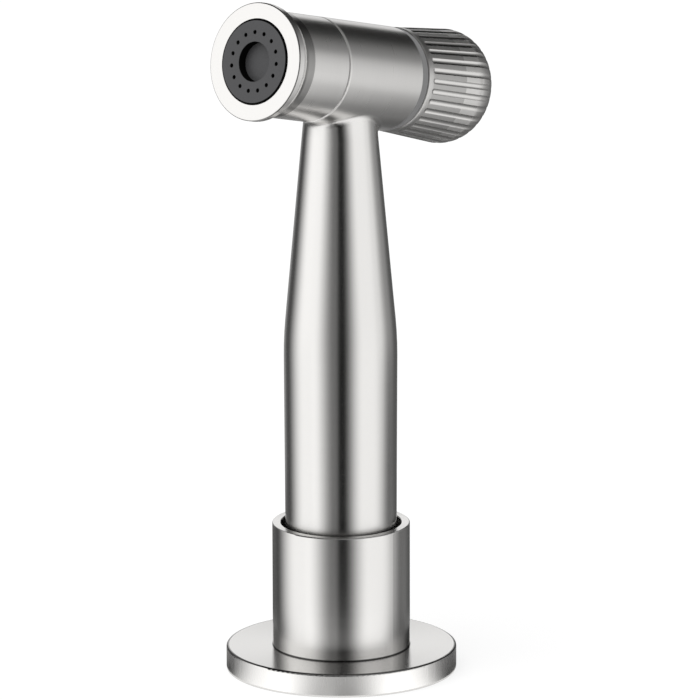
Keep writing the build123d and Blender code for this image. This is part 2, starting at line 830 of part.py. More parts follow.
inlet_fitting.part.label = "inlet_fitting"

with BuildPart() as inlet_screen:
    with BuildSketch(Plane.XY.offset(nipple_end)):
        Circle(screen_radius)
        Circle(screen_radius - screen_rim_width, mode=Mode.SUBTRACT)
    extrude(amount=screen_depth)
    with BuildSketch(Plane.XY.offset(nipple_end + screen_depth / 2)):
        Circle(screen_radius - screen_rim_width / 2)
        with GridLocations(
            screen_hole_spacing, screen_hole_spacing, screen_hole_rows, screen_hole_rows
        ):
            Circle(screen_hole_radius, mode=Mode.SUBTRACT)
    extrude(amount=screen_plate_thickness)
inlet_screen.part.label = "inlet_screen"

# Check valve: housing with a seat below and a spider above, and a sprung poppet
seat_top = check_base + check_seat_thickness
seal_top = seat_top + check_seal_thickness
poppet_top = seal_top + poppet_thickness
spider_base = inlet_top - spider_thickness
check_bore_radius = check_radius - check_wall

with BuildPart() as check_valve_housing:
    with BuildSketch(Plane.XY.offset(check_base)):
        Circle(check_radius)
    extrude(amount=inlet_top - check_base)
    with BuildSketch(Plane.XY.offset(seat_top)):
        Circle(check_bore_radius)
    extrude(amount=inlet_top - seat_top, mode=Mode.SUBTRACT)
    with BuildSketch(Plane.XY.offset(check_base)):
        Circle(check_seat_radius)
    extrude(amount=check_seat_thickness, mode=Mode.SUBTRACT)
    with BuildSketch(Plane.XY.offset(spider_base)):
        Circle(spider_hub_radius)
        with PolarLocations(check_bore_radius / 2, spider_arm_count):
            Rectangle(check_bore_radius + check_wall, spider_arm_width)
        Circle(poppet_stem_radius + poppet_stem_fit, mode=Mode.SUBTRACT)
    extrude(amount=spider_thickness)
check_valve_housing.part.label = "check_valve_housing"

with BuildPart() as check_seal:
    with BuildSketch(Plane.XY.offset(seat_top)):
        Circle(check_seal_radius)
        Circle(poppet_boss_radius + static_clearance, mode=Mode.SUBTRACT)
    extrude(amount=check_seal_thickness)
check_seal.part.label = "check_seal"

with BuildPart() as check_poppet:
    with BuildSketch(Plane.XY.offset(seat_top)):
        Circle(poppet_boss_radius)
    extrude(amount=check_seal_thickness)
    with BuildSketch(Plane.XY.offset(seal_top)):
        Circle(poppet_radius)
    extrude(amount=poppet_thickness)
    with BuildSketch(Plane.XY.offset(poppet_top)):
        Circle(poppet_stem_radius)
    extrude(amount=poppet_stem_length)
check_poppet.part.label = "check_poppet"

# Return spring: one helix between the poppet and the spider
spring_height = spider_base - poppet_top - 2 * spring_wire_radius
spring_pitch = spring_height / spring_turns
print("check spring: gap between turns", round(spring_pitch - 2 * spring_wire_radius, 2), "mm")

with BuildPart() as check_spring:
    with BuildLine() as spring_line:
        Helix(spring_pitch, spring_height, spring_radius, (0, 0, poppet_top + spring_wire_radius))
    with BuildSketch(Plane(origin=spring_line.line @ 0, z_dir=spring_line.line % 0)):
        Circle(spring_wire_radius)
    sweep(path=spring_line.line)
check_spring.part.label = "check_spring"

# O-rings
with BuildPart() as collar_o_ring:
    with BuildSketch(head_section):
        with Locations((o_ring_centre(barrel_bore_radius, o_ring_radius), collar_o_ring_depth)):
            Circle(o_ring_radius)
    revolve(axis=head_axis)
collar_o_ring.part.label = "collar_o_ring"

with BuildPart() as cartridge_o_ring:
    with BuildSketch(head_section):
        with Locations((o_ring_centre(barrel_bore_radius, o_ring_radius), cartridge_o_ring_depth)):
            Circle(o_ring_radius)
    revolve(axis=head_axis)
cartridge_o_ring.part.label = "cartridge_o_ring"

with BuildPart() as spindle_o_ring:
    with BuildSketch(head_section):
        ring_centre = o_ring_centre(spindle_bore_radius, spindle_o_ring_radius)
        with Locations((ring_centre, spindle_o_ring_depth)):
            Circle(spindle_o_ring_radius)
    revolve(axis=head_axis)
spindle_o_ring.part.label = "spindle_o_ring"

with BuildPart() as inlet_o_ring:
    with BuildSketch(Plane.XZ):
        with Locations((o_ring_centre(inlet_bore_radius, o_ring_radius), inlet_o_ring_height)):
            Circle(o_ring_radius)
    revolve(axis=Axis.Z)
inlet_o_ring.part.label = "inlet_o_ring"

pieces = [
    flange,
    holder_cup,
    threaded_shank,
    deck_gasket,
    friction_washer,
    steel_washer,
    mounting_nut,
    hose_grommet,
    guide_bush,
    handset_body,
    front_collar,
    spray_face,
    face_gasket,
    diffuser_plate,
    valve_seat_seal,
    valve_body,
    fixed_disc,
    moving_disc,
    spindle,
    spindle_clip,
    cartridge_nut,
    knob_ring,
    knob,
    knob_screw,
    knob_cap,
    inlet_fitting,
    inlet_screen,
    check_valve_housing,
    check_seal,
    check_poppet,
    check_spring,
    collar_o_ring,
    cartridge_o_ring,
    spindle_o_ring,
    inlet_o_ring,
]

os.makedirs("parts", exist_ok=True)
for piece in pieces:
    export_step(piece.part, f"parts/{piece.part.label}.step")
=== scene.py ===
"""Looks of a kitchen side sprayer that stands in its deck holder.

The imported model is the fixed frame, in metres: z is up, the deck is the plane z = 0 and the spray
face looks towards -y. Each sub-assembly makes its own meshes and dresses its pieces, and the studio
stands them on a white floor, seen from the photograph's angle.
"""

import functools
import json
import logging
import math
from dataclasses import dataclass, replace
from enum import Enum
from typing import Union

import bmesh
import bpy
from mathutils import Matrix, Vector


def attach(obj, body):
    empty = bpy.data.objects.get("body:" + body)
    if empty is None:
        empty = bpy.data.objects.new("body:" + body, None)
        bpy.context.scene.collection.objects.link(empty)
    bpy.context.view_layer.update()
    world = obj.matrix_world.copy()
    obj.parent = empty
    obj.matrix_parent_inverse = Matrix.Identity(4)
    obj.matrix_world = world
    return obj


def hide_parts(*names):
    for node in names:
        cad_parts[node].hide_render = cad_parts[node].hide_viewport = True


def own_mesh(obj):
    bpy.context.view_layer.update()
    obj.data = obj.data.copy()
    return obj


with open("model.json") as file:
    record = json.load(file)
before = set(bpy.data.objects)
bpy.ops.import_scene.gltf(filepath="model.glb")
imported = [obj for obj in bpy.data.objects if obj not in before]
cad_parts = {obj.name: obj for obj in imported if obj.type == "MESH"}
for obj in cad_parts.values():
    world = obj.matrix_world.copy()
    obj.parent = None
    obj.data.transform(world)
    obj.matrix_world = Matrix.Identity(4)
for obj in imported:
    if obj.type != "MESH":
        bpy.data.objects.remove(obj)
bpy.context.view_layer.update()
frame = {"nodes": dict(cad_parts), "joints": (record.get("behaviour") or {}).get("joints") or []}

MILLIMETRE = 0.001
MERGE_DISTANCE = 0.001 * MILLIMETRE
FINE_MERGE_DISTANCE = 0.0001 * MILLIMETRE
LEAST_RADIUS = 0.001 * MILLIMETRE
FAR = 1.0
SHARP_ANGLE = math.radians(25)

log = logging.getLogger("side_sprayer")

Value = Union["Signal", float, tuple]
Colour = tuple[float, float, float]


class Signal:
    """A shader socket that takes part in Python expressions.

    An expression on signals adds the Math nodes that work it out, so a formula reads as itself:
    radius = (x * x + y * y) ** 0.5.
    """

    def __init__(self, graph: "Graph", socket: bpy.types.NodeSocket) -> None:
        """Wraps one output socket of a node in a graph."""
        self.graph = graph
        self.socket = socket

    def output(self, name: str) -> "Signal":
        """Another output of the same node, by its name."""
        return Signal(self.graph, self.socket.node.outputs[name])

    def math(self, operation: str, *values: Value) -> "Signal":
        """One Math node on this signal and the values that follow it."""
        return self.graph.math(operation, self, *values)

    def __add__(self, other: Value) -> "Signal":
        """Sum."""
        return self.graph.math("ADD", self, other)

    def __radd__(self, other: Value) -> "Signal":
        """Sum with a number on the left."""
        return self.graph.math("ADD", other, self)

    def __sub__(self, other: Value) -> "Signal":
        """Difference."""
        return self.graph.math("SUBTRACT", self, other)

    def __rsub__(self, other: Value) -> "Signal":
        """Difference from a number on the left."""
        return self.graph.math("SUBTRACT", other, self)

    def __mul__(self, other: Value) -> "Signal":
        """Product."""
        return self.graph.math("MULTIPLY", self, other)

    def __rmul__(self, other: Value) -> "Signal":
        """Product with a number on the left."""
        return self.graph.math("MULTIPLY", other, self)

    def __truediv__(self, other: Value) -> "Signal":
        """Quotient."""
        return self.graph.math("DIVIDE", self, other)

    def __rtruediv__(self, other: Value) -> "Signal":
        """Quotient of a number by this signal."""
        return self.graph.math("DIVIDE", other, self)

    def __pow__(self, other: Value) -> "Signal":
        """Power."""
        return self.graph.math("POWER", self, other)


class Graph:
    """The nodes of one material or of the world."""

    def __init__(self, tree: bpy.types.NodeTree) -> None:
        """Takes over a node tree and empties it."""
        self.tree = tree
        tree.nodes.clear()

    def add(
        self,
        kind: str,
        settings: dict[str, object] | None = None,
        inputs: dict[int | str, Value] | None = None,
    ) -> bpy.types.Node:
        """Adds one node.

        Args:
            kind: The node's type, such as ShaderNodeMath.
            settings: The node's own properties, such as a Math node's operation.
            inputs: The value of each socket, or the signal that feeds it.

        Returns:
            The node.
        """
        made = self.tree.nodes.new(kind)
        for name, value in (settings or {}).items():
            setattr(made, name, value)
        for name, value in (inputs or {}).items():
            if isinstance(value, Signal):
                self.tree.links.new(value.socket, made.inputs[name])
            else:
                made.inputs[name].default_value = value
        return made

    def node(
        self,
        kind: str,
        settings: dict[str, object] | None = None,
        inputs: dict[int | str, Value] | None = None,
        output: int | str = 0,
    ) -> Signal:
        """Adds one node, as add does.

        Args:
            kind: The node's type.
            settings: The node's own properties.
            inputs: The value of each socket, or the signal that feeds it.
            output: The output that the returned signal stands for.

        Returns:
            The signal of the chosen output.
        """
        return Signal(self, self.add(kind, settings, inputs).outputs[output])

    def math(self, operation: str, *values: Value) -> Signal:
        """One Math node on up to three values."""
        return self.node("ShaderNodeMath", {"operation": operation}, dict(enumerate(values)))

    def vector(self, x: Value, y: Value, z: Value) -> Signal:
        """A vector from three numbers or signals."""
        return self.node("ShaderNodeCombineXYZ", inputs={0: x, 1: y, 2: z})

    def blend(self, share: Value, first: Value, second: Value) -> Signal:
        """A colour between two others, at a share from 0 to 1."""
        settings = {"data_type": "RGBA"}
        return self.node("ShaderNodeMix", settings, {0: share, 6: first, 7: second}, output=2)

    def ramp(self, place: Value, low: float, high: float) -> Signal:
        """A number that rises from 0 to 1, soft at both ends.

        Args:
            place: What the number depends on.
            low: The place up to which it is 0.
            high: The place from which it is 1.

        Returns:
            The number.
        """
        settings = {"interpolation_type": "SMOOTHSTEP"}
        inputs = {"Value": place, "From Min": low, "From Max": high}
        return self.node("ShaderNodeMapRange", settings, inputs)

    def window(self, place: Signal, low: float, high: float, fade: float) -> Signal:
        """A number that is 1 inside a range and 0 outside it.

        Args:
            place: What the number depends on.
            low: Lower border of the range, where the number is a half.
            high: Upper border.
            fade: Width over which each border fades.

        Returns:
            The number.
        """
        rise = self.ramp(place, low - fade / 2, low + fade / 2)
        fall = self.ramp(place, high - fade / 2, high + fade / 2)
        return rise * (1 - fall)


def opaque(colour: Colour) -> tuple[float, float, float, float]:
    """A colour with its alpha, as sockets take it."""
    return (*colour, 1.0)


def grey(level: float) -> tuple[float, float, float, float]:
    """A neutral grey of a linear level."""
    return opaque((level, level, level))


def toned(colour: Colour, tone: float) -> Colour:
    """A colour made darker or lighter by a factor."""
    return tuple(channel * tone for channel in colour)


def new_material(name: str) -> tuple[bpy.types.Material, Graph]:
    """Adds a material.

    Args:
        name: The material's name.

    Returns:
        The material, without nodes, and the graph that builds them.
    """
    material = bpy.data.materials.new(name)
    material.use_nodes = True
    return material, Graph(material.node_tree)


class Grain(Enum):
    """Which way the brush lines run, with the turn that spreads the gloss across them.

    The turn is a share of a full one, from the way round the z axis.
    """

    AROUND = 0.25
    ALONG = 0.0


@dataclass(frozen=True)
class Lathe:
    """The axis that a piece was turned about, which lies in the plane x = 0.

    Attributes:
        place: A point on the axis, in metres.
        lean: The turn about x, in radians, that takes +z to the axis.
    """

    place: tuple[float, float, float] = (0.0, 0.0, 0.0)
    lean: float = 0.0

    @property
    def axis(self) -> tuple[float, float, float]:
        """The axis as a unit vector."""
        return (0.0, -math.sin(self.lean), math.cos(self.lean))

    @property
    def matrix(self) -> Matrix:
        """Takes a point with the axis as its z to its place on the object."""
        return Matrix.Translation(self.place) @ Matrix.Rotation(self.lean, 4, "X")

    def local(self, graph: Graph) -> Signal:
        """Coordinates with the axis as z and the place as their origin.

        Args:
            graph: The graph that gets the nodes.

        Returns:
            The coordinates, worked out from the Object ones.
        """
        coordinates = graph.node("ShaderNodeTexCoord", output="Object")
        inputs = {"Vector": coordinates, "Location": self.place, "Rotation": (self.lean, 0, 0)}
        return graph.node("ShaderNodeMapping", {"vector_type": "TEXTURE"}, inputs)

    def turned(self, graph: Graph) -> tuple[Signal, Signal, Signal, Signal]:
        """Coordinates of a turned piece.

        Args:
            graph: The graph that gets the nodes.

        Returns:
            The radius, which is never 0, the height along the axis, and the direction outwards
            as its x and y.
        """
        x = graph.node("ShaderNodeSeparateXYZ", inputs={0: self.local(graph)})
        y = x.output("Y")
        radius = (x * x + y * y) ** 0.5 + LEAST_RADIUS
        return radius, x.output("Z"), x / radius, y / radius


def joint_lathe(name: str) -> Lathe:
    """The turning axis of a joint of the frame.

    Args:
        name: The joint's name.

    Returns:
        A lathe on the joint's place and axis, which lies in the plane x = 0.
    """
    joint = next(each for each in frame["joints"] if each["name"] == name)
    _, along_y, along_z = joint["axis"]
    return Lathe(place=tuple(joint["pos_m"]), lean=-math.atan2(along_y, along_z))


UPRIGHT = Lathe()
HEAD = joint_lathe("knob_turn")


@dataclass(frozen=True)
class Region:
    """A ring-shaped part of the space round a lathe's axis.

    Attributes:
        lathe: The axis.
        inner: Inner radius, in metres.
        outer: Outer radius, in metres.
        low: Lowest height along the axis.
        high: Greatest height along the axis.
        flare: Growth of both radii for each metre of height.
        fade: Width over which its borders fade.
    """

    lathe: Lathe = UPRIGHT
    inner: float = -FAR
    outer: float = FAR
    low: float = -FAR
    high: float = FAR
    flare: float = 0.0
    fade: float = 0.1 * MILLIMETRE

    def share(self, graph: Graph) -> Signal:
        """Tells the points of the region from those outside it.

        Args:
            graph: The graph that gets the nodes.

        Returns:
            1 inside the region and 0 outside.
        """
        radius, height, _, _ = self.lathe.turned(graph)
        level = radius - height * self.flare
        across = graph.window(level, self.inner, self.outer, self.fade)
        return across * graph.window(height, self.low, self.high, self.fade)


@dataclass(frozen=True)
class Patch:
    """A region of a finish that is darker, lighter, smoother or rougher than the rest.

    Attributes:
        region: Where it lies.
        tone: What the colour is multiplied by.
        roughness: What is added to the roughness.
    """

    region: Region
    tone: float = 1.0
    roughness: float = 0.0


@dataclass(frozen=True)
class Brushing:
    """Brush lines that run around a lathe's axis or along it.

    Attributes:
        lathe: The axis.
        grain: Which way the lines run.
        roughness: Mean roughness.
        streak: How far a line's roughness departs from the mean.
        line_width: Width of one line, in metres.
        line_depth: Depth that the lines are shaded with, in metres.
        stretch: Anisotropy of the gloss, for a piece turned about the z axis.
        tilt: How far the lines tip the surface along the axis, for any other piece.
        fineness: How many times narrower the lines that tip the surface are.
        bend_changes: How often a line that runs around changes in one radian.
        run_changes: How often a line that runs along the axis changes in one metre.
        reach: Radius of the piece, for lines that run along the axis.
    """

    lathe: Lathe = UPRIGHT
    grain: Grain = Grain.AROUND
    roughness: float = 0.22
    streak: float = 0.03
    line_width: float = 0.3 * MILLIMETRE
    line_depth: float = 0.003 * MILLIMETRE
    stretch: float = 0.0
    tilt: float = 0.0
    fineness: float = 6.0
    bend_changes: float = 1.4
    run_changes: float = 60.0
    reach: float = 0.0

    def lines(self, graph: Graph, width: float) -> Signal:
        """The lines as a noise from 0 to 1.

        Args:
            graph: The graph that gets the nodes.
            width: Width of one line, in metres.

        Returns:
            The noise, long in the direction of the lines.
        """
        radius, height, out_x, out_y = self.lathe.turned(graph)
        if self.grain is Grain.AROUND:
            turns, along = self.bend_changes, 1.0 / width
        else:
            turns, along = self.reach / width, self.run_changes
        place = graph.vector(out_x * turns, out_y * turns, height * along)
        inputs = {"Vector": place, "W": radius * along, "Scale": 1.0, "Detail": 3.0}
        return graph.node("ShaderNodeTexNoise", {"noise_dimensions": "4D"}, inputs)

    def tipped(self, graph: Graph) -> Signal:
        """Tips the surface along the axis by lines that are too fine to see.

        Args:
            graph: The graph that gets the nodes.

        Returns:
            The surface's direction in the world.
        """
        fine = self.lines(graph, self.line_width / self.fineness)
        push = (fine - 0.5) * (2 * self.tilt)
        settings = {"operation": "SCALE"}
        along = graph.node("ShaderNodeVectorMath", settings, {0: self.lathe.axis, "Scale": push})
        outward = graph.node("ShaderNodeTexCoord", output="Normal")
        tipped = graph.node("ShaderNodeVectorMath", {"operation": "ADD"}, {0: outward, 1: along})
        settings = {"vector_type": "NORMAL", "convert_from": "OBJECT", "convert_to": "WORLD"}
        return graph.node("ShaderNodeVectorTransform", settings, {0: tipped})

    def surface(self, graph: Graph, bright: Value, dull: Value, extra: Value) -> Signal:
        """The shader of steel that is brushed this way.

        Args:
            graph: The graph that gets the nodes.
            bright: Colour of the brightest lines.
            dull: Colour of the dullest lines.
            extra: What is added to the roughness.

        Returns:
            The shader.
        """
        lines = self.lines(graph, self.line_width)
        inputs = {"Strength": 1.0, "Distance": self.line_depth, "Height": lines}
        if self.tilt:
            inputs["Normal"] = self.tipped(graph)
        bump = graph.node("ShaderNodeBump", inputs=inputs)
        return graph.node(
            "ShaderNodeBsdfPrincipled",
            inputs={
                "Base Color": graph.blend(lines, dull, bright),
                "Metallic": 1.0,
                "Roughness": lines * (2 * self.streak) + extra + (self.roughness - self.streak),
                "Anisotropic": self.stretch,
                "Anisotropic Rotation": self.grain.value,
                "Normal": bump,
            },
        )


@dataclass(frozen=True)
class Metal:
    """A metal of one brushing, or of two that meet.

    Attributes:
        name: The material's name.
        colour: Linear colour at full reflection.
        brushing: How the piece is brushed.
        patches: Regions that differ in tone or roughness.
        other: How its other region is brushed.
        other_region: Where that is.
        tarnish: Share by which the dullest lines are darker.
    """

    name: str
    colour: Colour
    brushing: Brushing = Brushing()
    patches: tuple[Patch, ...] = ()
    other: Brushing | None = None
    other_region: Region = Region()
    tarnish: float = 0.05

    def surface(self, graph: Graph) -> Signal:
        """Builds the metal's shader.

        Args:
            graph: The graph that gets the nodes.

        Returns:
            The shader.
        """
        bright: Value = opaque(self.colour)
        dull: Value = opaque(toned(self.colour, 1 - self.tarnish))
        extra: Value = 0.0
        for patch in self.patches:
            share = patch.region.share(graph)
            colour = toned(self.colour, patch.tone)
            bright = graph.blend(share, bright, opaque(colour))
            dull = graph.blend(share, dull, opaque(toned(colour, 1 - self.tarnish)))
            extra = share * patch.roughness + extra
        shader = self.brushing.surface(graph, bright, dull, extra)
        if self.other is None:
            return shader
        second = self.other.surface(graph, bright, dull, extra)
        share = self.other_region.share(graph)
        return graph.node("ShaderNodeMixShader", inputs={0: share, 1: shader, 2: second})


@dataclass(frozen=True)
class Moulding:
    """A moulded plastic, rubber or ceramic.

    Attributes:
        name: The material's name.
        colour: Linear colour.
        roughness: Mean roughness.
        spread: How far the roughness departs from the mean.
        pebble: Size of the texture's pebbles, in metres.
        pebble_depth: Depth that they are shaded with, in metres.
        mottle: Share by which the colour varies.
        clouds: How often the colour varies in one metre.
        shade_regions: Regions of painted shade, painted so dark that they give hardly any light
            back.
        shade_level: Grey of those regions.
    """

    name: str
    colour: Colour
    roughness: float = 0.5
    spread: float = 0.06
    pebble: float = 0.25 * MILLIMETRE
    pebble_depth: float = 0.01 * MILLIMETRE
    mottle: float = 0.12
    clouds: float = 90.0
    shade_regions: tuple[Region, ...] = ()
    shade_level: float = 0.004

    def surface(self, graph: Graph) -> Signal:
        """Builds the moulding's shader.

        Args:
            graph: The graph that gets the nodes.

        Returns:
            The shader.
        """
        coordinates = graph.node("ShaderNodeTexCoord", output="Object")
        inputs = {"Vector": coordinates, "Scale": 1.0 / self.pebble, "Detail": 2.0}
        pebbles = graph.node("ShaderNodeTexNoise", inputs=inputs)
        inputs = {"Vector": coordinates, "Scale": self.clouds}
        clouds = graph.node("ShaderNodeTexNoise", inputs=inputs)
        mottled = toned(self.colour, 1 - self.mottle)
        colour = graph.blend(clouds, opaque(mottled), opaque(self.colour))
        roughness = pebbles * (2 * self.spread) + (self.roughness - self.spread)
        inputs = {"Strength": 1.0, "Distance": self.pebble_depth, "Height": pebbles}
        bump = graph.node("ShaderNodeBump", inputs=inputs)
        inputs = {"Base Color": colour, "Roughness": roughness, "Normal": bump}
        shader = graph.node("ShaderNodeBsdfPrincipled", inputs=inputs)
        # Painted shade: a near-black diffuse shader is mixed in over each region.
        for shaded_spot in self.shade_regions:
            shade_paint = {"Color": grey(self.shade_level)}
            hollow = graph.node("ShaderNodeBsdfDiffuse", inputs=shade_paint)
            inputs = {0: shaded_spot.share(graph), 1: shader, 2: hollow}
            shader = graph.node("ShaderNodeMixShader", inputs=inputs)
        return shader


Finish = Union[Metal, Moulding]


@functools.cache
def material_of(finish: Finish) -> bpy.types.Material:
    """The material of a finish, which is made when it is first asked for.

    Args:
        finish: The finish.

    Returns:
        Its material.
    """
    material, graph = new_material(finish.name)
    graph.add("ShaderNodeOutputMaterial", inputs={"Surface": finish.surface(graph)})
    return material


STAINLESS_COLOUR = (0.75, 0.74, 0.725)
BRASS_COLOUR = (0.76, 0.58, 0.29)
TURNED = Brushing(roughness=0.28, streak=0.05, line_width=0.2 * MILLIMETRE)
HEAD_TURNED = Brushing(HEAD, roughness=0.25, streak=0.04, line_width=0.2 * MILLIMETRE)
MACHINED_STEEL = Metal("machined_steel", (0.56, 0.56, 0.56), TURNED)
BRASS = Metal("turned_brass", BRASS_COLOUR, TURNED, tarnish=0.12)
HEAD_BRASS = Metal("turned_brass_head", BRASS_COLOUR, HEAD_TURNED, tarnish=0.12)
PALE_PLASTIC = Moulding("pale_plastic", (0.52, 0.52, 0.5), roughness=0.4)
RUBBER = Moulding("black_rubber", (0.02, 0.02, 0.021), roughness=0.7)


def place_on_lathe(node: str, lathe: Lathe) -> bmesh.types.BMesh:
    """A merged copy of a node, with the lathe's axis as its z.

    Args:
        node: The node's name.
        lathe: The axis.

    Returns:
        The copy.
    """
    piece = bmesh.new()
    piece.from_mesh(frame["nodes"][node].data)
    bmesh.ops.remove_doubles(piece, verts=piece.verts, dist=MERGE_DISTANCE)
    piece.transform(lathe.matrix.inverted())
    piece.normal_update()
    return piece


def everything(mesh: bmesh.types.BMesh) -> list:
    """All vertices, edges and faces of a mesh."""
    return [*mesh.verts, *mesh.edges, *mesh.faces]


def reach_of(point: Vector) -> float:
    """Distance of a point from the z axis."""
    return math.hypot(point.x, point.y)


def spin_round(
    mesh: bmesh.types.BMesh, geom: list, angle: float, steps: int, **options: object
) -> None:
    """Spins a part of a mesh about the z axis.

    Args:
        mesh: The mesh.
        geom: The part that is spun.
        angle: The angle of the spin.
        steps: The number of steps in it.
        options: Other options of the spin, such as the climb of each step.
    """
    upright = (0, 0, 1)
    centre = (0, 0, 0)
    bmesh.ops.spin(
        mesh, geom=geom, axis=upright, cent=centre, angle=angle, steps=steps, **options
    )


def slice_at(
    mesh: bmesh.types.BMesh,
    place: tuple[float, float, float],
    across: tuple[float, float, float],
    geom: list | None = None,
    clear: bool = False,
) -> None:
    """Cuts the faces of a mesh along a plane.

    Args:
        mesh: The mesh.
        place: A point of the plane.
        across: The plane's normal.
        geom: The part of the mesh that is cut, or None for all of it.
        clear: Whether what is behind the plane is deleted.
    """
    bmesh.ops.bisect_plane(
        mesh,
        geom=everything(mesh) if geom is None else geom,
        plane_co=place,
        plane_no=across,
        clear_inner=clear,
    )


def cover(piece: bmesh.types.BMesh, skin: bmesh.types.BMesh, lathe: Lathe) -> None:
    """Closes an open turned piece with a new outer skin, and puts it in its place.

    Args:
        piece: The piece, with one open loop at each end of the skin.
        skin: The skin, a tube with two open ends, which is freed.
        lathe: The piece's axis.
    """
    carrier = bpy.data.meshes.new("skin")
    skin.to_mesh(carrier)
    skin.free()
    piece.from_mesh(carrier)
    bpy.data.meshes.remove(carrier)
    open_edges = [edge for edge in piece.edges if edge.is_boundary]
    heights = [edge.verts[0].co.z for edge in open_edges]
    middle = (min(heights) + max(heights)) / 2
    lower = [edge for edge in open_edges if edge.verts[0].co.z < middle]
    upper = [edge for edge in open_edges if edge.verts[0].co.z >= middle]
    for loops in (lower, upper):
        bmesh.ops.bridge_loops(piece, edges=loops)
    bmesh.ops.recalc_face_normals(piece, faces=piece.faces)
    piece.transform(lathe.matrix)


@dataclass(frozen=True)
class ScrewThread:
    """An outside screw thread, which takes the place of a plain cylinder on a turned piece.

    Attributes:
        crest: Radius of the cylinder, in metres.
        root: Radius at the bottom of the thread.
        pitch: Distance from one turn to the next.
        foot: Height of the cylinder's lower end along the axis.
        head: Height of its upper end.
        foot_radius: Radius at the lower end, where the chamfer ends.
        lathe: The axis.
        flat: Share of the pitch that the crest, and the root, takes up.
        rise: Growth of the radius over the height where the thread runs out at its upper end.
        steps: Faces in one turn.
        gap: Width of the faces that join the thread to the piece.
        end_slant: The least z of a face's direction that makes it part of an end of the piece.
    """

    crest: float
    root: float
    pitch: float
    foot: float
    head: float
    foot_radius: float
    lathe: Lathe = UPRIGHT
    flat: float = 0.14
    rise: float = 0.5
    steps: int = 60
    gap: float = 0.02 * MILLIMETRE
    end_slant: float = 0.9

    def _limit(self, radius: float, height: float) -> float:
        """Runs the thread out at both of its ends.

        Args:
            radius: Radius of a point of the endless thread.
            height: The point's height along the axis.

        Returns:
            The radius that the point gets.
        """
        chamfer = self.foot_radius + (height - self.foot)
        lead_in = self.foot_radius - (height - self.foot)
        run_out = self.crest - (self.head - height) * self.rise
        return min(max(radius, lead_in, run_out), chamfer, self.crest)

    def _skin(self) -> bmesh.types.BMesh:
        """Turns the threaded surface alone.

        Returns:
            The surface, cut off at both ends.
        """
        mesh = bmesh.new()
        start = self.foot - self.pitch
        outline = [
            (self.root, 0.0),
            (self.root, self.flat),
            (self.crest, 0.5),
            (self.crest, 0.5 + self.flat),
            (self.root, 1.0),
        ]
        points = [mesh.verts.new((reach, 0, start + share * self.pitch)) for reach, share in outline]
        edges = [mesh.edges.new(pair) for pair in zip(points, points[1:])]
        climb = (0, 0, self.pitch / self.steps)
        spin_round(mesh, [*points, *edges], 2 * math.pi, self.steps, dvec=climb)
        turn = everything(mesh)
        for count in range(1, math.ceil((self.head - self.foot) / self.pitch) + 2):
            copied = bmesh.ops.duplicate(mesh, geom=turn)["geom"]
            moved = [each for each in copied if isinstance(each, bmesh.types.BMVert)]
            bmesh.ops.translate(mesh, verts=moved, vec=(0, 0, self.pitch * count))
        bmesh.ops.remove_doubles(mesh, verts=mesh.verts, dist=MERGE_DISTANCE)
        foot = self.foot + self.gap
        head = self.head - self.gap
        lead = self.foot_radius - self.root
        chamfer = self.crest - self.foot_radius
        run_out = (self.crest - self.root) / self.rise
        for height in (foot + lead, foot + chamfer, head - run_out):
            slice_at(mesh, (0, 0, height), (0, 0, 1))
        slice_at(mesh, (0, 0, foot), (0, 0, 1), clear=True)
        slice_at(mesh, (0, 0, head), (0, 0, -1), clear=True)
        for vertex in mesh.verts:
            radius = reach_of(vertex.co)
            vertex.co.xy *= self._limit(radius, vertex.co.z) / radius
        return mesh

    def cut_into(self, node: str) -> bmesh.types.BMesh:
        """Gives a copy of a node the thread in place of its plain cylinder.

        Args:
            node: The node's name.

        Returns:
            The threaded piece, closed, in its place on the object.
        """
        piece = place_on_lathe(node, self.lathe)
        plain = [
            face
            for face in piece.faces
            if abs(face.normal.z) < self.end_slant
            and all(
                self.foot_radius - self.gap < reach_of(vertex.co) < self.crest + self.gap
                and self.foot - self.gap < vertex.co.z < self.head + self.gap
                for vertex in face.verts
            )
        ]
        bmesh.ops.delete(piece, geom=plain, context="FACES")
        cover(piece, self._skin(), self.lathe)
        return piece


